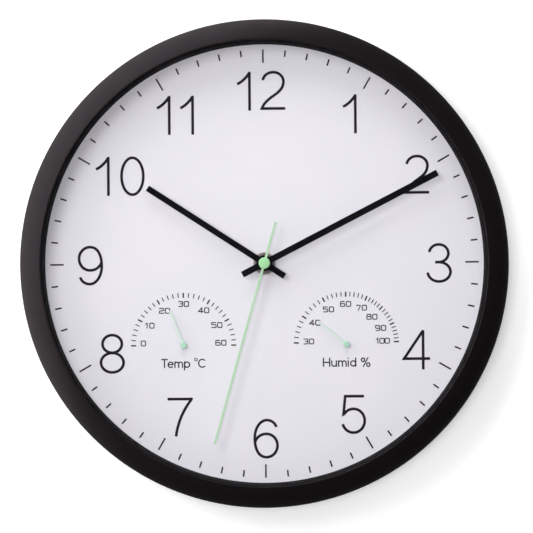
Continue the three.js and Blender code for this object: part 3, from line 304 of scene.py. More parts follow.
def add_plate(mesh, outlines, rear, front, edge=0.0):
    """Adds a flat plate between two depths, from its outline and those of its holes, with soft edges."""
    curve = bpy.data.curves.new("plate", "CURVE")
    curve.dimensions = "2D"
    curve.fill_mode = "BOTH"
    curve.extrude = (front - rear) / 2 - edge
    curve.bevel_depth = edge
    curve.bevel_resolution = 2
    curve.offset = -edge
    for outline in outlines:
        spline = curve.splines.new("POLY")
        spline.points.add(len(outline) - 1)
        for point, (u, v) in zip(spline.points, outline):
            point.co = (u, v, 0, 1)
        spline.use_cyclic_u = True
    holder = linked("plate", curve)
    made = evaluated(holder)
    for vertex in made.vertices:
        u, v, lift = vertex.co
        vertex.co = at(u, v, (rear + front) / 2 + lift)
    mesh.from_mesh(made)
    bpy.data.objects.remove(holder)
    bpy.data.curves.remove(curve)
    bpy.data.meshes.remove(made)


def add_cut(mesh, solid, tool):
    """Adds what is left of a solid after a tool is cut out of it."""
    holders = []
    for part in (solid, tool):
        bmesh.ops.recalc_face_normals(part, faces=part.faces)
        holders.append(linked("cut", data_of("cut", part)))
    cutting = holders[0].modifiers.new("cut", "BOOLEAN")
    cutting.object = holders[1]
    cutting.use_self = True
    made = evaluated(holders[0])
    mesh.from_mesh(made)
    for holder in holders:
        bpy.data.meshes.remove(holder.data)  # and with it the object
    bpy.data.meshes.remove(made)


def piece(name, mesh, finish, body, replaces=(), sharp=32, second=None):
    """Makes the object of a finished mesh, which rides on a body.

    Faces with the material index 1 get the second finish.
    """
    bmesh.ops.remove_doubles(mesh, verts=mesh.verts, dist=SAME_POINT)
    bmesh.ops.dissolve_degenerate(mesh, edges=mesh.edges, dist=SAME_POINT / 10)
    bmesh.ops.recalc_face_normals(mesh, faces=mesh.faces)
    data = data_of(name, mesh)
    data.shade_smooth()
    data.set_sharp_from_angle(angle=math.radians(sharp))
    data.materials.append(FINISHES[finish])
    if second:
        data.materials.append(FINISHES[second])
    made = linked(name, data)
    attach(made, body)
    if replaces:
        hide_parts(*replaces)


# Printed lines


def arc(centre, across, up, start, end, steps=20):
    """Points of an ellipse about centre, from start to end, anticlockwise in degrees from the right."""
    points = []
    for i in range(steps + 1):
        turn = math.radians(start + (end - start) * i / steps)
        points.append((centre[0] + across * math.cos(turn), centre[1] + up * math.sin(turn)))
    return points


def bend(*poles):
    """Points of a Bezier curve of any degree, from its poles."""
    steps = 12
    points = []
    for i in range(steps + 1):
        t = i / steps
        rest = [Vector(p) for p in poles]
        while len(rest) > 1:
            rest = [a.lerp(b, t) for a, b in zip(rest, rest[1:])]
        points.append(tuple(rest[0]))
    return points


def stroke(points, width, closed=False):
    """The four-sided faces of a line through points: a bar for each step and a mitre for each bend."""
    shortest = 1e-4
    spots = [Vector(p) for p in points]
    line = spots[:1] + [spot for before, spot in zip(spots, spots[1:]) if (spot - before).length > shortest]
    if closed and (line[0] - line[-1]).length > shortest:
        line.append(line[0])
    bars = []
    for start, end in zip(line, line[1:]):
        along = (end - start).normalized()
        bars.append((start, end, Vector((-along.y, along.x)) * width / 2))
    faces = [[start + side, start - side, end - side, end + side] for start, end, side in bars]
    bends = list(zip(bars, bars[1:]))
    if closed:
        bends.append((bars[-1], bars[0]))
    for (_, _, before), (corner, _, after) in bends:
        turn = before.cross(after)
        if abs(turn) < 1e-3:  # the line runs on straight here
            continue
        if turn > 0:
            before, after = -before, -after
        tip = (before + after) / (1 + before.normalized().dot(after.normalized()))
        mitre = [corner, corner + before, corner + tip, corner + after]
        faces.append(mitre if turn > 0 else mitre[::-1])
    return faces


def turned_over(faces, u, v):
    """Faces of a line after half a turn, shifted to the right and up."""
    return [[Vector((u - corner.x, v - corner.y)) for corner in face] for face in faces]


def moved(faces, u, v):
    """Faces of a line, shifted to the right and up."""
    shift = Vector((u, v))
    return [[corner + shift for corner in face] for face in faces]


def print_on_dial(name, faces):
    """Makes one thin printed piece of all the area that faces cover together."""
    corners = [corner for face in faces for corner in face]
    indexed = [list(range(4 * i, 4 * i + 4)) for i in range(len(faces))]
    points, _, triangles, _, _, origins = delaunay_2d_cdt(corners, [], indexed, 0, 1e-4)
    inked = [t for t, origin in zip(triangles, origins) if origin]
    mesh = bmesh.new()
    sunk = INK_THICKNESS / 2  # so that no gap shows under the ink
    verts = [mesh.verts.new(at(p.x, p.y, DIAL_FRONT - sunk)) for p in points]
    for triangle in inked:
        mesh.faces.new([verts[k] for k in triangle])
    loose = [v for v in mesh.verts if not v.link_faces]
    bmesh.ops.delete(mesh, geom=loose, context="VERTS")
    bmesh.ops.recalc_face_normals(mesh, faces=mesh.faces)
    raised = bmesh.ops.extrude_face_region(mesh, geom=mesh.faces[:])
    top = [e for e in raised["geom"] if isinstance(e, bmesh.types.BMVert)]
    bmesh.ops.translate(mesh, verts=top, vec=(0, -(INK_THICKNESS + sunk) * MM, 0))
    piece(name, mesh, "dial_ink", "case", sharp=PLATE_SHARP)


# Materials


def linear(red, green, blue):
    """A colour as a render shows it, from 0 to 255, as linear light."""
    parts = [c / 255 for c in (red, green, blue)]
    return tuple(c / 12.92 if c <= 0.04045 else ((c + 0.055) / 1.055) ** 2.4 for c in parts) + (1,)


def added(tree, kind, **inputs):
    """A new node, with values or links for its inputs."""
    made = tree.nodes.new("ShaderNode" + kind)
    for name, given in inputs.items():
        if isinstance(given, bpy.types.NodeSocket):
            tree.links.new(given, made.inputs[name])
        else:
            made.inputs[name].default_value = given
    return made


def mixed(tree, share, first, second):
    """The output of a mix of two shaders."""
    chosen = added(tree, "MixShader")
    for socket, given in zip(chosen.inputs, (share, first, second)):
        tree.links.new(given, socket)
    return chosen.outputs[0]


FINISHES = {}  # the materials by name, of which most are those of the CAD source


class Finish:
    """A procedural material on one Principled shader."""

    def __init__(self, name, colour, roughness, metallic=0.0):
        self.material = bpy.data.materials.new(name)
        self.material.use_nodes = True
        self.tree = self.material.node_tree
        self.shader = self.tree.nodes["Principled BSDF"]
        self.shader.inputs["Base Color"].default_value = colour
        self.shader.inputs["Roughness"].default_value = roughness
        self.shader.inputs["Metallic"].default_value = metallic
        FINISHES[name] = self.material
        self.roughness = roughness
        self.place = added(self.tree, "TexCoord").outputs["Object"]

    def noise(self, size, detail=2, stretch=(1, 1, 1)):
        """Noise whose features are about size millimetres across."""
        place = added(self.tree, "Mapping", Vector=self.place, Scale=stretch).outputs["Vector"]
        made = added(self.tree, "TexNoise", Vector=place, Scale=1 / (size * MM), Detail=detail)
        return made.outputs["Fac"]

    def ranged(self, value, low, high, out_low, out_high):
        """Maps a value from low..high to another range."""
        ends = {"From Min": low, "From Max": high, "To Min": out_low, "To Max": out_high}
        return added(self.tree, "MapRange", Value=value, **ends).outputs["Result"]

    def mottle(self, size, detail, low, high, share, other):
        """Blends patches of about size millimetres towards another colour, by up to a share."""
        patches = self.ranged(self.noise(size, detail), low, high, 0.0, share)
        mixer = added(self.tree, "Mix")
        mixer.data_type = "RGBA"  # whose two inputs are 6 and 7, and whose output is 2
        source = self.shader.inputs["Base Color"]
        if source.is_linked:
            self.tree.links.new(source.links[0].from_socket, mixer.inputs[6])
        else:
            mixer.inputs[6].default_value = source.default_value
        mixer.inputs[7].default_value = other
        self.tree.links.new(patches, mixer.inputs[0])
        self.tree.links.new(mixer.outputs[2], source)

    def vary_roughness(self, value, spread):
        """Lets the roughness differ by up to spread from place to place."""
        rough = self.ranged(value, 0.3, 0.7, self.roughness - spread, self.roughness + spread)
        self.tree.links.new(rough, self.shader.inputs["Roughness"])

    def bump(self, value, height):
        """Raises the surface by up to height millimetres."""
        node = added(self.tree, "Bump", Height=value, Distance=height * MM)
        normal = self.shader.inputs["Normal"]
        if normal.is_linked:
            self.tree.links.new(normal.links[0].from_socket, node.inputs["Normal"])
        self.tree.links.new(node.outputs["Normal"], normal)


def plastic(name, colour, roughness, grain=0.25, grain_height=0.004, shade=0.8):
    """Moulded plastic with a fine grain and slightly uneven colour."""
    made = Finish(name, colour, roughness)
    darker = tuple(c * shade for c in colour[:3]) + (1,)
    made.mottle(18, 3, 0.35, 0.7, 0.6, darker)
    made.vary_roughness(made.noise(9, 3), 0.05)
    made.bump(made.noise(grain), grain_height)
    return made


def metal(name, colour, roughness):
    """Bare metal with fine scratches."""
    made = Finish(name, colour, roughness, 1.0)
    darker = tuple(c * 0.75 for c in colour[:3]) + (1,)
    made.mottle(4, 4, 0.35, 0.75, 0.7, darker)
    made.vary_roughness(made.noise(0.6, 3), 0.08)
    made.bump(made.noise(0.1, 3), 0.002)
    return made


def glass_finish():
    """Window glass that lets the light of the lamps through to the dial."""
    made = Finish("clear_glass", (0.99, 0.99, 0.99, 1), 0.0)
    made.shader.inputs["Transmission Weight"].default_value = 1.0
    made.shader.inputs["IOR"].default_value = 1.45
    tree = made.tree
    path = added(tree, "LightPath")
    open_way = added(tree, "BsdfTransparent", Color=(0.96, 0.96, 0.96, 1))
    seen = mixed(tree, path.outputs["Is Shadow Ray"], made.shader.outputs["BSDF"], open_way.outputs["BSDF"])
    tree.links.new(seen, tree.nodes["Material Output"].inputs["Surface"])


def dial_finishes():
    """The dial's paper, near white with a trace of violet, and its black ink."""
    paper = Finish("dial_sheet", linear(237, 234, 241), 0.55)
    paper.mottle(45, 2, 0.35, 0.7, 0.5, linear(232, 230, 238))
    paper.mottle(0.25, 3, 0.5, 0.75, 0.12, linear(215, 212, 220))
    paper.bump(paper.noise(0.2, 3), 0.002)
    paper.shader.inputs["Specular IOR Level"].default_value = 0.3
    ink = Finish("dial_ink", linear(32, 28, 34), 0.6)
    ink.mottle(0.3, 3, 0.4, 0.8, 0.5, linear(44, 39, 45))


def paint(name, colour, roughness, worn):
    """Lacquer on sheet metal, with faint orange peel."""
    made = Finish(name, colour, roughness)
    made.mottle(3, 3, 0.4, 0.8, 0.5, worn)
    made.vary_roughness(made.noise(5, 2), 0.04)
    made.bump(made.noise(0.8, 2), 0.003)


case_black = plastic("black_plastic", linear(25, 22, 24), 0.42, grain=0.18, grain_height=0.0015)
case_black.shader.inputs["Specular Tint"].default_value = (1, 0.84, 0.92, 1)
# The inner wall round the dial is dull, so that the dial doesn't show in it, and its black is darker than
# the bezel's: painted shade for the shade that falls on that wall
matt_black = plastic("matt_black", linear(16, 14, 16), 0.7, grain=0.3, grain_height=0.01)
matt_black.shader.inputs["Specular IOR Level"].default_value = 0.06
glass_finish()
dial_finishes()
paint("black_hand", linear(14, 13, 17), 0.45, linear(22, 20, 25))
paint("green_hand", linear(190, 222, 190), 0.5, linear(182, 212, 184))
plastic("green_cap", linear(172, 226, 170), 0.35, grain=0.4, shade=0.94)
paint("pale_pointer", linear(218, 231, 225), 0.5, linear(212, 227, 220))
paint("pointer_hub", linear(182, 223, 199), 0.5, linear(174, 216, 192))
plastic("dark_plastic", linear(38, 37, 40), 0.55, grain=0.35, grain_height=0.006)
metal("brass", (0.66, 0.47, 0.2, 1), 0.3)
metal("steel", (0.5, 0.51, 0.52, 1), 0.32)
zinc_plate = plastic("washer_steel", linear(198, 184, 183), 0.35, grain=0.15, grain_height=0.003)
zinc_plate.shader.inputs["Metallic"].default_value = 0.6
plastic("white_nylon", linear(232, 230, 222), 0.45, shade=0.95)
plastic("knob_nylon", linear(225, 224, 218), 0.5, shade=0.93)
plastic("rubber", linear(28, 28, 29), 0.85, grain=0.5, grain_height=0.02)
winding = metal("copper", (0.62, 0.27, 0.13, 1), 0.35)
winding.bump(winding.noise(0.12, 1, (1, 0.05, 0.05)), 0.03)
metal("magnet", (0.1, 0.1, 0.11, 1), 0.45)
board = plastic("board", (0.02, 0.12, 0.04, 1), 0.35)
board.mottle(1.2, 1, 0.55, 0.6, 1.0, (0.04, 0.2, 0.07, 1))
plastic("battery_sleeve", linear(48, 62, 74), 0.3, grain=2.0, shade=0.9)


def dress_cad_nodes():
    """Gives every CAD node the finish with the name of its slot."""
    for node in frame["nodes"].values():
        for holder in node.material_slots:
            holder.material = FINISHES[holder.material.name.split(".")[0]]


# Case


crest_radius = CLOCK_RADIUS - BEZEL_WIDTH
seat_radius = crest_radius - LIP_DRAFT
seat_depth = GLASS_FRONT + FACE_GAP
skirt_inner = GLASS_RADIUS + FIT_GAP
skirt_outer = skirt_inner + SKIRT_WALL
channel_radius = CLOCK_RADIUS - FRAME_WALL
pilot_radius = SCREW_RADIUS + RUN_GAP
crest_tilt = math.radians(BEZEL_TILT_AT_CREST)
edge_tilt = math.radians(BEZEL_TILT_AT_EDGE)
edge_reach = BEZEL_EDGE_ROUND * (1 - math.sin(edge_tilt))
face_radius = (BEZEL_WIDTH - edge_reach) / (math.sin(edge_tilt) - math.sin(crest_tilt))


def face_depth(radius):
    """Depth of the bezel's front face, which leans back more and more from its crest."""
    sine = math.sin(crest_tilt) + (radius - crest_radius) / face_radius
    return CREST_DEPTH - face_radius * (math.cos(crest_tilt) - math.sqrt(1 - sine * sine))


def screw_places():
    """The places of the case screws."""
    circle_radius = (skirt_outer + channel_radius) / 2
    return [polar(circle_radius, 360 * i / CASE_SCREWS) for i in range(CASE_SCREWS)]


def front_frame():
    """The bezel, its rim and its skirt in one moulding, with bosses for the screws."""
    edge_middle = (
        CLOCK_RADIUS - BEZEL_EDGE_ROUND,
        face_depth(CLOCK_RADIUS - edge_reach) - BEZEL_EDGE_ROUND * math.cos(edge_tilt),
    )
    edge = arc(edge_middle, BEZEL_EDGE_ROUND, BEZEL_EDGE_ROUND, 0, 90 - BEZEL_TILT_AT_EDGE, 8)
    slope_steps = 14
    slope = []
    for i in range(1, slope_steps):
        radius = CLOCK_RADIUS - edge_reach - (BEZEL_WIDTH - edge_reach) * i / slope_steps
        slope.append((radius, face_depth(radius)))
    under_wall = face_depth(channel_radius) - FRAME_WALL
    profile = rounded([
        (channel_radius, 0, REAR_ROUND),
        (CLOCK_RADIUS, 0, REAR_ROUND),
        *edge,
        *slope,
        (crest_radius, CREST_DEPTH, CREST_ROUND),
        (seat_radius, seat_depth),
        (skirt_inner, seat_depth),
        (skirt_inner, DIAL_REAR - SKIRT_WALL),
        (skirt_outer, DIAL_REAR - SKIRT_WALL),
        (skirt_outer, face_depth(skirt_outer) - FRAME_WALL),
        (channel_radius, under_wall),
    ])
    mesh = bmesh.new()
    add_turned(mesh, profile)
    # The inner face of the lip gets the darker matt black: painted shade on the wall round the dial
    second_within(mesh, crest_radius - LIP_DRAFT / 3)
    boss_front = under_wall + FACE_GAP
    boss = [(0, PILOT_FRONT), (pilot_radius, PILOT_FRONT), (pilot_radius, BOSS_REAR),
            (BOSS_RADIUS, BOSS_REAR), (BOSS_RADIUS, boss_front), (0, boss_front)]
    for place in screw_places():
        add_turned(mesh, boss, place, 24)
    piece("frame_moulding", mesh, "black_plastic", "case", ["front_frame"], second="matt_black")


def spacer():
    """The black wall between the dial and the glass."""
    front_radius = seat_radius - FACE_GAP
    mesh = bmesh.new()
    add_turned(mesh, rounded([
        (front_radius - SPACER_DRAFT, SPACER_REAR, SPACER_REAR_ROUND),
        (GLASS_RADIUS, SPACER_REAR, SPACER_RIM_ROUND),
        (GLASS_RADIUS, SPACER_FRONT, SPACER_RIM_ROUND),
        (front_radius, SPACER_FRONT, SPACER_FRONT_ROUND),
    ]))
    # The darker matt black paints the shade that falls on this wall
    piece("spacer_moulding", mesh, "matt_black", "case", ["spacer_ring"])


def glass():
    """A round pane with ground edges."""
    inner = GLASS_RADIUS - GLASS_CHAMFER
    mesh = bmesh.new()
    add_turned(mesh, [
        (0, GLASS_REAR), (inner, GLASS_REAR), (GLASS_RADIUS, GLASS_REAR + GLASS_CHAMFER),
        (GLASS_RADIUS, GLASS_FRONT - GLASS_CHAMFER), (inner, GLASS_FRONT), (0, GLASS_FRONT),
    ])
    piece("glass_pane", mesh, "clear_glass", "case", ["glass_lens"], sharp=20)


def dial():
    """The sheet behind the print, with holes for the shaft and the two spindles."""
    holes = [circle(DIAL_SHAFT_HOLE)]
    holes += [circle(DIAL_SPINDLE_HOLE, place, 24) for place in (THERMO_PLACE, HYGRO_PLACE)]
    mesh = bmesh.new()
    add_plate(mesh, [circle(GLASS_RADIUS, sides=SIDES), *holes], DIAL_REAR, DIAL_FRONT)
    piece("dial_plate", mesh, "dial_sheet", "case", ["dial"], PLATE_SHARP)


# Back of the case and what shows there


def box_outline(left, right, bottom, top, radius):
    """A box with round corners."""
    corners = ((left, bottom), (right, bottom), (right, top), (left, top))
    return rounded([(u, v, radius) for u, v in corners])


def keyhole_outline(spread):
    """The nail's slot above its round hole, wider all round by spread."""
    half = KEYHOLE_SLOT_WIDTH / 2 + spread
    radius = KEYHOLE_RADIUS + spread
    seat = (0, CLOCK_RADIUS - HANGER_INSET)
    entry = (0, seat[1] - KEYHOLE_DROP)
    neck = math.degrees(math.asin(half / radius))
    return [polar(half, -90 + 180 * i / 16, seat) for i in range(17)] + [
        polar(radius, neck + (360 - 2 * neck) * i / 32, entry) for i in range(33)
    ]


def vent_outlines(place):
    """A row of upright slots with its middle at a place."""
    low, high = place[1] - VENT_LENGTH / 2, place[1] + VENT_LENGTH / 2
    outlines = []
    for i in range(VENTS):
        u = place[0] + (i - (VENTS - 1) / 2) * VENT_PITCH
        outlines.append(box_outline(u - VENT_WIDTH / 2, u + VENT_WIDTH / 2, low, high, VENT_CORNER))
    return outlines


def well_outline(spread):
    """The opening for the movement, wider all round by spread."""
    left, right, bottom, top = edges_of("movement_housing")
    reach = WELL_GAP + spread
    return box_outline(left - reach, right + reach, bottom - reach, top + reach, WELL_CORNER + spread)


def back_plate():
    """The back cover: a plate with a skirt and a well, a bead, and rims round its keyhole and well."""
    plate_front = COVER_REAR + BACK_PLATE_THICKNESS
    head_room = SCREW_HEAD_RADIUS + FIT_GAP
    plate = bmesh.new()
    add_plate(plate, [
        circle(COVER_RADIUS, sides=SIDES),
        well_outline(0),
        keyhole_outline(0),
        *vent_outlines(THERMO_PLACE),
        *vent_outlines(HYGRO_PLACE),
    ], COVER_REAR, plate_front, PLATE_EDGE)
    bmesh.ops.remove_doubles(plate, verts=plate.verts, dist=SAME_POINT)
    sinks = bmesh.new()
    for place in screw_places():
        add_turned(sinks, [
            (0, COVER_REAR - CUT_OVERRUN), (head_room, COVER_REAR - CUT_OVERRUN), (head_room, COVER_REAR),
            (pilot_radius, COVER_REAR + SCREW_HEAD_HEIGHT + FIT_GAP),
            (pilot_radius, plate_front + CUT_OVERRUN), (0, plate_front + CUT_OVERRUN),
        ], place, SCREW_SIDES)
    mesh = bmesh.new()
    add_cut(mesh, plate, sinks)
    edge = COVER_REAR + PLATE_EDGE
    for outline in (well_outline, keyhole_outline):
        add_plate(mesh, [outline(RIM_WIDTH), outline(0)], COVER_REAR - BEAD_HEIGHT, edge, RIM_EDGE)
    add_turned(mesh, [
        (BEAD_RADIUS + BEAD_WIDTH * across, COVER_REAR + PLATE_EDGE * (1 - lift) - BEAD_HEIGHT * lift)
        for across, lift in BEAD_PROFILE
    ])
    skirt_radius = GLASS_RADIUS - FIT_GAP
    wall_rear = plate_front - 2 * PLATE_EDGE
    add_turned(mesh, [(skirt_radius - SKIRT_WALL, wall_rear), (skirt_radius, wall_rear),
                      (skirt_radius, COVER_FRONT), (skirt_radius - SKIRT_WALL, COVER_FRONT)])
    add_plate(mesh, [well_outline(WELL_WALL), well_outline(0)], wall_rear, COVER_FRONT)
    piece("back_plate", mesh, "dark_plastic", "case", ["back_cover"], PLATE_SHARP)


def nearest_screw(place):
    """The name of the CAD screw that stands at a place."""
    names = [name for name in frame["nodes"] if name.startswith("case_screw")]
    return min(names, key=lambda name: math.dist(middle_of(name), place))


def case_screws():
    """Countersunk screws with crosses."""
    tip = COVER_REAR + SCREW_LENGTH
    across, deep = SCREW_HEAD_CHAMFER
    length, width, depth = SCREW_RECESS
    for i, place in enumerate(screw_places()):
        solid = bmesh.new()
        add_turned(solid, [
            (0, COVER_REAR), (SCREW_HEAD_RADIUS - across, COVER_REAR),
            (SCREW_HEAD_RADIUS, COVER_REAR + deep), (SCREW_RADIUS, COVER_REAR + SCREW_HEAD_HEIGHT),
            (SCREW_RADIUS, tip - SCREW_RADIUS), (0, tip),
        ], place, SCREW_SIDES)
        cross = bmesh.new()
        for bar, up in ((length, width), (width, length)):
            size = Matrix.Diagonal((bar * MM, 2 * depth * MM, up * MM, 1))
            bmesh.ops.create_cube(cross, matrix=Matrix.Translation(at(*place, COVER_REAR)) @ size)
        mesh = bmesh.new()
        add_cut(mesh, solid, cross)
        piece("screw_%d" % i, mesh, "steel", "case", [nearest_screw(place)], PLATE_SHARP)


def movement_lid():
    """The cover over the train: a plate with a collar round the knob, and blind bores for the arbors."""
    rear, boss_front = rear_and_front("movement_cover")
    front = rear_and_front("movement_housing")[0] - FACE_GAP
    knob = middle_of("time_set_knob")
    outlines = [box_outline(*edges_of("movement_cover"), LID_CORNER), circle(KNOB_BORE, knob, 32)]
    arbors = [middle_of(name) for name in ("third_wheel", "fifth_wheel", "rotor_pinion")]
    holes = [circle(CENTRE_BORE, sides=24)] + [circle(ARBOR_BORE, place, 24) for place in arbors]
    mesh = bmesh.new()
    add_plate(mesh, outlines, rear, rear + LID_SKIN, LID_EDGE)
    add_plate(mesh, outlines + holes, rear + LID_SKIN, front)
    for hole, place in zip(holes, [(0, 0), *arbors]):
        add_plate(mesh, [circle(ARBOR_BOSS, place, 24), hole], front - OVERLAP, boss_front)
    inner = KNOB_RADIUS + COLLAR_GAP
    add_plate(mesh, [circle(inner + COLLAR_WALL, knob, 64), circle(inner, knob, 64)],
              rear - COLLAR_HEIGHT, rear + OVERLAP, COLLAR_EDGE)
    piece("movement_lid", mesh, "dark_plastic", "case", ["movement_cover"], PLATE_SHARP)


def setting_knob():
    """A ribbed knob with a dished end."""
    rear, front = rear_and_front("time_set_knob")
    place = middle_of("time_set_knob")
    outline = []
    steps = 12
    for i in range(steps * KNOB_RIBS):
        wave = (1 - math.cos(math.tau * i / steps)) / 2
        outline.append(polar(KNOB_RADIUS - KNOB_RIB_DEPTH * wave, 360 / steps * i / KNOB_RIBS, place))
    web_rear = rear + KNOB_DISH_DEPTH
    web_front = web_rear + KNOB_WEB
    mesh = bmesh.new()
    add_plate(mesh, [outline, circle(KNOB_DISH_RADIUS, place)], rear, web_rear + OVERLAP, KNOB_REAR_EDGE)
    add_plate(mesh, [circle(KNOB_WEB_RADIUS, place)], web_rear, web_front)
    add_plate(mesh, [outline, circle(KNOB_BORE, place, 32)], web_front, front, KNOB_FRONT_EDGE)
    piece("knob_grip", mesh, "knob_nylon", "setting", ["time_set_knob"], sharp=25)


def battery():
    """A cell in a shrunk sleeve, with its steel ends bare."""
    low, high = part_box("battery")
    length = (high.x - low.x) / MM - BATTERY_NUB_LENGTH
    mesh = bmesh.new()
    add_turned(mesh, [
        (0, 0), (5.0, 0), (5.3, 0.25), (6.3, 0.25), (6.5, 0.1), (6.9, 0.25), (BATTERY_RADIUS, 0.7),
        (BATTERY_RADIUS, length - 0.7), (6.9, length - 0.2), (6.4, length), (6.1, length - 0.3),
        (3.4, length - 0.3), (3.0, length), (BATTERY_NUB_RADIUS, length + 0.2),
        (BATTERY_NUB_RADIUS, length + BATTERY_NUB_LENGTH - 0.35),
        (BATTERY_NUB_RADIUS - 0.4, length + BATTERY_NUB_LENGTH), (0, length + BATTERY_NUB_LENGTH),
    ], sides=64)
    second_within(mesh, SLEEVE_FOLD)
    start = Matrix.Translation((low.x, (low.y + high.y) / 2, (low.z + high.z) / 2))
    lying = Matrix.Rotation(math.radians(90), 4, "Z")
    bmesh.ops.transform(
        mesh, verts=mesh.verts, matrix=start @ lying @ Matrix.Translation(-at(0, 0, 0)))
    piece("battery_cell", mesh, "battery_sleeve", "cell", ["battery"], sharp=25, second="steel")


# Dial print


def number_glyphs():
    """The hour numbers' figures, in millimetres from the middle of each one's foot."""
    def line(points, closed=False):
        return stroke(points, NUMBER_LINE, closed)

    six = line(
        arc((0.2, 18.0), 6.0, 5.4, 12, 90) + arc((0.2, 12.3), 7.4, 11.1, 90, 180)
        + bend((-7.2, 12.3), (-7.2, 5.2), (-4.6, 0.65), (0, 0.65)) + arc((0, 7.8), 6.75, 7.15, -90, 90, 30)
        + bend((0, 14.95), (-3.5, 14.95), (-5.8, 13.0), (-6.9, 10.4))
    )
    return {
        "0": line(arc((0, 12.0), 6.7, 11.35, 0, 360, 60), True),
        "1": line([(0, 0), (0, 24.0)]) + line(bend((0.1, 23.5), (-3.25, 18.3), (-7.6, 16.4))),
        "2": line(arc((0.25, 17.3), 6.4, 5.7, 172, 0)
                  + bend((6.65, 17.3), (6.65, 13.2), (3.9, 10.9), (0.7, 8.7))
                  + bend((0.7, 8.7), (-2.9, 6.2), (-5.6, 3.9), (-6.7, 0.65)) + [(7.65, 0.65)]),
        "3": line(arc((-0.2, 18.0), 5.9, 5.45, 172, -90, 30) + [(-2.5, 12.55)])
        + line([(-2.5, 12.55)] + arc((-0.1, 6.6), 7.0, 5.95, 90, -176, 30)),
        "4": line([(0, 0), (0, 24.2)]) + line([(-0.2, 23.6), (-11.7, 6.7), (4.2, 6.7)]),
        "5": line([(6.5, 23.0), (-5.1, 23.0), (-6.2, 11.9)] + arc((-0.1, 7.95), 6.9, 7.3, 145, -164, 40)),
        "6": six,
        "7": line([(-7.7, 23.0), (7.0, 23.0)] + bend((7.0, 22.8), (-1.15, 12.15), (-2.6, 0))),
        "8": line(arc((0, 18.15), 5.95, 5.42, 0, 360, 40), True)
        + line(arc((0, 6.62), 6.95, 5.97, 0, 360, 44), True),
        "9": turned_over(six, 0, 24.0),
    }


NUMBER_PLACES = [  # each figure, and the place of the middle of its foot
    ("1", -8.4, 94.0), ("2", 5.9, 94.6), ("1", 56.6, 79.6), ("2", 94.0, 42.3), ("3", 107.4, -12.6),
    ("4", 97.1, -65.9), ("5", 54.1, -105.0), ("6", 0.5, -119.7), ("7", -52.4, -106.0),
    ("8", -93.9, -67.0), ("9", -107.2, -12.6), ("1", -95.6, 42.2), ("0", -80.8, 42.2),
    ("1", -57.9, 79.5), ("1", -43.5, 79.5),
]


def hour_numbers():
    """The numbers from 1 to 12."""
    glyphs = number_glyphs()
    faces = []
    for figure, u, v in NUMBER_PLACES:
        faces += moved(glyphs[figure], u, v)
    print_on_dial("hour_numbers", faces)


def ray(centre, inner, outer, degrees, width):
    """A mark that points away from centre."""
    return stroke([polar(inner, degrees, centre), polar(outer, degrees, centre)], width)


def minute_marks():
    """Sixty marks, of which those of the hours are longer."""
    faces = []
    for minute in range(60):
        length = MARK_LENGTH if minute % 5 else HOUR_MARK_LENGTH
        faces += ray((0, 0), MARK_RADIUS - length, MARK_RADIUS, 6 * minute, MARK_WIDTH)
    print_on_dial("minute_marks", faces)


# Figures of the two scales: squarish, of one line width
SMALL_WIDTH = 2.65
SMALL_HEIGHT = 3.0
SMALL_LINE = 0.62
SMALL_PITCH = 3.6
NARROW_PITCH = 3.2  # of a number with three figures


def small_glyphs():
    """The scales' figures, from the middle of each one."""
    w, h = SMALL_WIDTH / 2, SMALL_HEIGHT / 2

    def line(*corners, closed=False):
        return stroke(rounded([(x * w, y * h, *r) for x, y, *r in corners], 3), SMALL_LINE, closed)

    soft = 0.55
    lower_loop = line((-1, 0.1, soft), (1, 0.1, soft), (1, -1, soft), (-1, -1, soft), closed=True)
    return {
        "0": line((-1, 1, soft), (1, 1, soft), (1, -1, soft), (-1, -1, soft), closed=True),
        "1": line((0.5, -1.16), (0.5, 1), (-0.4, 0.5)),
        "2": line((-1, 0.7), (-1, 1, 0.3), (1, 1, soft), (1, 0.1, soft), (-1, -0.1, soft),
                  (-1, -1), (1.1, -1)),
        "3": line((-1, 1), (1, 1, soft), (1, 0.05, 0.4), (-0.3, 0.05))
        + line((-0.3, 0.05), (1, 0.05, 0.4), (1, -1, soft), (-1, -1)),
        "4": line((0.45, -1.16), (0.45, 1), (-1.1, -0.45), (1.2, -0.45)),
        "5": line((1, 1), (-1, 1), (-1, 0.15), (1, 0.15, soft), (1, -1, soft), (-1.1, -1)),
        "6": lower_loop + line((0.9, 1), (-1, 1, soft), (-1, -0.6)),
        "7": line((-1.1, 1), (1, 1, 0.3), (-0.2, -1.16)),
        "8": lower_loop
        + line((-0.9, 0.1, 0.4), (0.9, 0.1, 0.4), (0.9, 1, 0.4), (-0.9, 1, 0.4), closed=True),
        "9": line((-1, 1, soft), (1, 1, soft), (1, -0.1, soft), (-1, -0.1, soft), closed=True)
        + line((1, 0.6), (1, -1, soft), (-0.9, -1)),
    }


def small_number(number, centre, place):
    """A number of a scale, with its middle at a place measured from centre."""
    glyphs = small_glyphs()
    text = str(number)
    faces = []
    for i, figure in enumerate(text):
        pitch = SMALL_PITCH if len(text) < 3 else NARROW_PITCH
        across = (i - (len(text) - 1) / 2) * pitch
        faces += moved(glyphs[figure], centre[0] + place[0] + across, centre[1] + place[1])
    return faces


CAPITAL_HEIGHT = 5.6
LETTER_HEIGHT = 4.0
LETTER_LINE = 0.78
DEGREE_LINE = 0.5


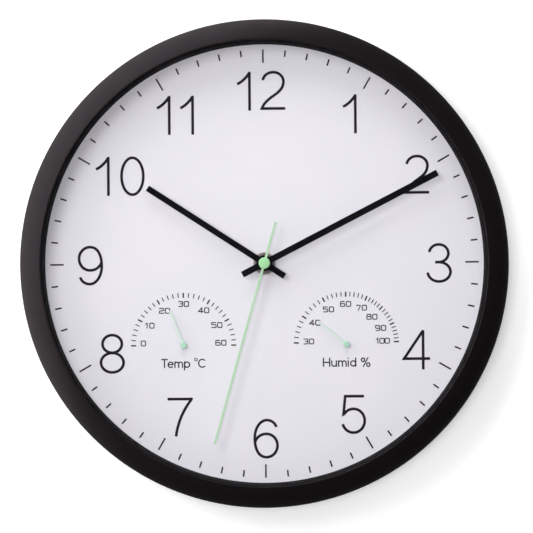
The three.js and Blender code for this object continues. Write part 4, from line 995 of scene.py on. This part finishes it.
def letter_glyphs():
    """Each letter's faces, from the left of its foot, and how far the next letter stands from it."""
    line_half = LETTER_LINE / 2
    top = CAPITAL_HEIGHT - line_half
    low = LETTER_HEIGHT - line_half
    mid = (low + line_half) / 2

    def line(points, closed=False):
        return stroke(points, LETTER_LINE, closed)

    def arch(left, right):
        radius = (right - left) / 2
        return line([(left, 0), (left, LETTER_HEIGHT)]) + line(
            arc(((left + right) / 2, low - radius), radius, radius, 170, 0, 12) + [(right, 0)])

    bowl = line(arc((1.95, mid), 1.55, mid - line_half, 0, 360, 28), True)
    return {
        "T": (line([(0, top), (4.0, top)]) + line([(2, 0), (2, top)]), 3.9),
        "e": (line([(0.3, mid + 0.1), (3.3, mid + 0.1)]) + line(
            arc((1.85, mid), 1.55, mid - line_half, 0, 322, 28)), 4.1),
        "m": (arch(0.4, 2.7) + arch(2.7, 5.0)[1:], 5.9),
        "p": (line([(0.4, -1.5), (0.4, LETTER_HEIGHT)]) + bowl, 4.6),
        "C": (line(arc((2.6, CAPITAL_HEIGHT / 2), 2.25, top - CAPITAL_HEIGHT / 2, 42, 318, 30)), 5.0),
        "°": (stroke(arc((0.6, top - 0.1), 0.8, 0.8, 0, 360, 20), DEGREE_LINE, True), 1.9),
        "H": (line([(0.4, 0), (0.4, CAPITAL_HEIGHT)]) + line([(4.2, 0), (4.2, CAPITAL_HEIGHT)])
              + line([(0.4, CAPITAL_HEIGHT / 2), (4.2, CAPITAL_HEIGHT / 2)]), 5.1),
        "u": (turned_over(arch(0.4, 3.2), 3.6, LETTER_HEIGHT), 4.2),
        "i": (line([(0.4, 0), (0.4, LETTER_HEIGHT)])
              + line([(0.4, top - 0.35), (0.4, CAPITAL_HEIGHT)]), 1.5),
        "d": (line([(3.5, 0), (3.5, CAPITAL_HEIGHT)]) + bowl, 4.6),
        "%": (line(arc((1.2, top - 1.0), 1.0, 1.1, 0, 360, 20), True)
              + line(arc((4.4, 1.2), 1.0, 1.1, 0, 360, 20), True)
              + line([(1.3, -0.1), (4.3, CAPITAL_HEIGHT + 0.1)]), 5.6),
        " ": ([], 2.2),
    }


def words(text, middle, foot):
    """Words centred across the place middle, with their feet at a height."""
    glyphs = letter_glyphs()
    left = middle - sum(glyphs[letter][1] for letter in text) / 2
    faces = []
    for letter in text:
        outline, step = glyphs[letter]
        faces += moved(outline, left, foot)
        left += step
    return faces


SCALE_RADIUS = 32.3
SCALE_MARK = (2.8, 0.6)  # length and width
SCALE_MAIN_MARK = (3.1, 0.9)  # of a mark with a number
MARKS_PER_NUMBER = 5
WORD_DROP = 13.8

# Each number of a scale: the angle of its mark, and its middle from the middle of the scale
TEMPERATURES = {
    0: (-90, (-24.7, 1.4)), 10: (-60, (-21.2, 12.3)), 20: (-30, (-11.6, 21.4)), 30: (0, (0.1, 25.5)),
    40: (30, (12.5, 21.5)), 50: (60, (20.5, 12.4)), 60: (90, (22.9, 1.5)),
}
HUMIDITIES = {
    30: (-88, (-23.2, 1.9)), 40: (-57, (-19.2, 13.4)), 50: (-26.8, (-10.8, 21.5)), 60: (-0.4, (-0.3, 24.8)),
    70: (23.5, (9.4, 22.4)), 80: (44, (15.8, 16.8)), 90: (66, (21.1, 9.9)), 100: (87.3, (21.9, 2.0)),
}


def scale_mark(centre, degrees, main):
    """A mark of a scale, longer and wider at a number."""
    length, width = SCALE_MAIN_MARK if main else SCALE_MARK
    return ray(centre, SCALE_RADIUS - length, SCALE_RADIUS, degrees, width)


def scale_print(name, centre, scale, text):
    """A scale's marks and numbers, with its name below them."""
    angles = [angle for angle, _ in scale.values()]
    faces = []
    for start, end in zip(angles, angles[1:]):
        for k in range(MARKS_PER_NUMBER):
            faces += scale_mark(centre, start + (end - start) * k / MARKS_PER_NUMBER, k == 0)
    faces += scale_mark(centre, angles[-1], True)
    for number, (_, place) in scale.items():
        faces += small_number(number, centre, place)
    faces += words(text, centre[0], centre[1] - WORD_DROP)
    print_on_dial(name, faces)


# Hands


def hand_outline(reach, tail, width, hub, degrees):
    """A straight bar through a round hub, turned clockwise from straight up."""
    half = width / 2
    neck = math.degrees(math.acos(half / hub))
    corners = [(-half, reach), (half, reach)] + arc((0, 0), hub, hub, neck, -neck)
    corners += [(half, -tail), (-half, -tail)] + arc((0, 0), hub, hub, 180 + neck, 180 - neck)
    turn = Matrix.Rotation(-math.radians(degrees), 2)
    return [tuple(turn @ Vector(corner)) for corner in corners]


def hands():
    """Three flat bars, of which those with a bore are pressed onto their pipes."""
    for name, node, body, finish, reach, tail, width, hub, bore, edge, angle in HANDS:
        outlines = [hand_outline(reach, tail, width, hub, angle)]
        if bore:
            outlines.append(circle(bore))
        mesh = bmesh.new()
        add_plate(mesh, outlines, *rear_and_front(node), edge)
        piece(name, mesh, finish, body, [node], PLATE_SHARP)


def second_cap():
    """The domed cap at the middle of the second hand."""
    rear, front = rear_and_front("second_hand_cap")
    mesh = bmesh.new()
    add_turned(mesh, [
        (0, rear), (CAP_RADIUS, rear), (CAP_RADIUS, rear + 0.12), (CAP_RADIUS - 0.15, rear + 0.3),
        (CAP_RADIUS - 0.5, front - 0.1), (CAP_RADIUS - 0.9, front), (0, front),
    ], sides=64)
    piece("second_cap", mesh, "green_cap", "second", ["second_hand_cap"], sharp=50)


def washer():
    """The plated washer under the hands."""
    rear, front = rear_and_front("washer")
    mesh = bmesh.new()
    add_turned(mesh, rounded([
        (WASHER_BORE, rear), (WASHER_RADIUS, rear), (WASHER_RADIUS, front, WASHER_ROUND),
        (WASHER_BORE, front, WASHER_BORE_ROUND),
    ]), sides=96)
    piece("shaft_washer", mesh, "washer_steel", "case", ["washer"])


def pointers():
    """The pointers of the two scales, each a blade on a round hub."""
    foot, tip = POINTER_FOOT_WIDTH / 2, POINTER_TIP_WIDTH / 2
    for name, place, reach, angle in POINTERS:
        node, body = name + "_pointer", name + "_needle"
        rear, front = rear_and_front(node)
        turn = Matrix.Rotation(-math.radians(angle), 2)
        corners = rounded([
            (-foot, 0), (-tip, reach, POINTER_TIP_ROUND), (tip, reach, POINTER_TIP_ROUND), (foot, 0),
        ], 3)
        outline = [tuple(Vector(place) + turn @ Vector(c)) for c in corners]
        mesh = bmesh.new()
        add_plate(mesh, [outline], rear, rear + POINTER_THICKNESS, POINTER_EDGE)
        piece(name + "_blade", mesh, "pale_pointer", body, [node], PLATE_SHARP)
        mesh = bmesh.new()
        add_turned(mesh, rounded([
            (0, rear), (POINTER_HUB_RADIUS, rear),
            (POINTER_HUB_RADIUS, front, POINTER_HUB_ROUND), (0, front),
        ], 4), place, 40)
        piece(name + "_hub", mesh, "pointer_hub", body)


# Stage, lamps and camera, in metres where nothing else is said

WALL_HALF = 2.5
WALL_GAP = 0.0003
WALL_GLOW = 0.345
ROOM_RADIUS = 4.0
LIT_SIDE = Vector((-0.85, 0.2, 0.5)).normalized()
LIT_FROM = 0.38  # cosine of the angle from the lit side at which the dark begins
LIT_BEHIND = 0.5
SOFT_LIGHT = 0.05
LAMPS = (  # name, direction clockwise from straight up, tilt, distance, size, and watts
    ("key", -55, 34, 1.6, 0.7, 9.3),
    ("top", 50, 30, 1.6, 0.6, 1.9),
    ("front", -112, 6.5, 2.6, 0.75, 23.6),
    ("above", -4, 67, 1.6, 0.75, 12.0),
    ("beside", -62, 74, 1.6, 0.6, 9.0),
    ("below", -129, 71, 1.6, 1.1, 4.9),
    ("side", 102, 71, 2.5, 1.2, 5.2),
    ("rear", 40, 162, 2.5, 1.2, 40.0),
)
CAMERA_LENS = 220.25  # millimetres
CAMERA_PLACE = (15, -40, 2032)  # u, v and depth in millimetres
CAMERA_AIM = (1.31, -2.02, 32)
CAMERA_ROLL = -0.42
CAMERA_REACH = 20


def wall():
    """A white wall behind the clock, seen only from the front."""
    mesh = bmesh.new()
    for x, z in ((-1, -1), (1, -1), (1, 1), (-1, 1)):
        mesh.verts.new((x * WALL_HALF, WALL_GAP, z * WALL_HALF))
    mesh.faces.new(mesh.verts)
    coat = bpy.data.materials.new("wall_paint")
    coat.use_nodes = True
    tree = coat.node_tree
    tree.nodes.remove(tree.nodes["Principled BSDF"])
    matt = added(tree, "BsdfDiffuse", Color=(1, 1, 1, 1))
    glow = added(tree, "Emission", Strength=WALL_GLOW)
    both = added(tree, "AddShader")
    tree.links.new(matt.outputs[0], both.inputs[0])
    tree.links.new(glow.outputs[0], both.inputs[1])
    clear = added(tree, "BsdfTransparent")
    side = added(tree, "NewGeometry")
    seen = mixed(tree, side.outputs["Backfacing"], both.outputs[0], clear.outputs[0])
    tree.links.new(seen, tree.nodes["Material Output"].inputs["Surface"])
    made = linked("wall", data_of("wall", mesh))
    made.data.materials.append(coat)
    made.visible_diffuse = False
    made.visible_glossy = False
    made.visible_shadow = False


def dark_room():
    """The unlit part of the studio, which only glossy surfaces see: in front, to the right and below."""
    mesh = bmesh.new()
    bmesh.ops.create_icosphere(mesh, subdivisions=5, radius=ROOM_RADIUS)
    lit = []
    for face in mesh.faces:
        direction = face.calc_center_median().normalized()
        if direction.dot(LIT_SIDE) > LIT_FROM or direction.y > LIT_BEHIND:
            lit.append(face)
    bmesh.ops.delete(mesh, geom=lit, context="FACES")
    cloth = Finish("dark_cloth", (0.03, 0.03, 0.03, 1), 1.0)
    cloth.shader.inputs["Specular IOR Level"].default_value = 0.0
    made = linked("dark_room", data_of("dark_room", mesh))
    made.location = at(0, 0, 0)
    made.data.materials.append(cloth.material)
    made.visible_camera = False
    made.visible_shadow = False
    made.visible_diffuse = False


def lamp(name, direction, tilt, distance, size, power):
    """A square soft light that faces the dial, tilt degrees away from straight in front of it."""
    data = bpy.data.lights.new(name, "AREA")
    data.shape = "SQUARE"
    data.size = size
    data.energy = power
    data.cycles.use_multiple_importance_sampling = False
    across, up = polar(distance * math.sin(math.radians(tilt)), direction)
    place = Vector((across, -distance * math.cos(math.radians(tilt)), up))
    made = linked(name, data)
    made.location = at(0, 0, 0) + place
    made.rotation_euler = (-place).to_track_quat("-Z", "Y").to_euler()
    made.visible_glossy = False
    made.visible_transmission = False


def world():
    """Faint light from all round, which is white where the camera, glossy surfaces or the glass see it."""
    made = bpy.data.worlds.new("studio")
    made.use_nodes = True
    tree = made.node_tree
    tree.nodes.clear()
    path = added(tree, "LightPath")
    seen = path.outputs["Is Camera Ray"]
    for kind in ("Is Glossy Ray", "Is Transmission Ray"):
        either = added(tree, "Math")
        either.operation = "MAXIMUM"
        tree.links.new(seen, either.inputs[0])
        tree.links.new(path.outputs[kind], either.inputs[1])
        seen = either.outputs[0]
    skies = []
    for strength in (SOFT_LIGHT, 1.0):
        sky = added(tree, "Background", Color=(1, 1, 1, 1), Strength=strength)
        skies.append(sky.outputs[0])
    added(tree, "OutputWorld", Surface=mixed(tree, seen, *skies))
    bpy.context.scene.world = made


def camera():
    """A long lens in front of the dial, a little below its middle."""
    data = bpy.data.cameras.new("camera")
    data.sensor_width = 36
    data.lens = CAMERA_LENS
    data.clip_end = CAMERA_REACH
    spot = at(*CAMERA_PLACE)
    facing = (at(*CAMERA_AIM) - spot).to_track_quat("-Z", "Y").to_matrix()
    turn = facing @ Matrix.Rotation(math.radians(CAMERA_ROLL), 3, "Z")
    made = linked("camera", data)
    made.matrix_world = Matrix.Translation(spot) @ turn.to_4x4()
    bpy.context.scene.camera = made


dress_cad_nodes()
front_frame()
spacer()
glass()
dial()
back_plate()
case_screws()
movement_lid()
setting_knob()
battery()
hour_numbers()
minute_marks()
scale_print("thermometer_print", THERMO_PLACE, TEMPERATURES, "Temp °C")
scale_print("hygrometer_print", HYGRO_PLACE, HUMIDITIES, "Humid %")
hands()
second_cap()
washer()
pointers()

wall()
dark_room()
for values in LAMPS:
    lamp(*values)
world()
camera()

bpy.context.scene.view_settings.view_transform = "Standard"
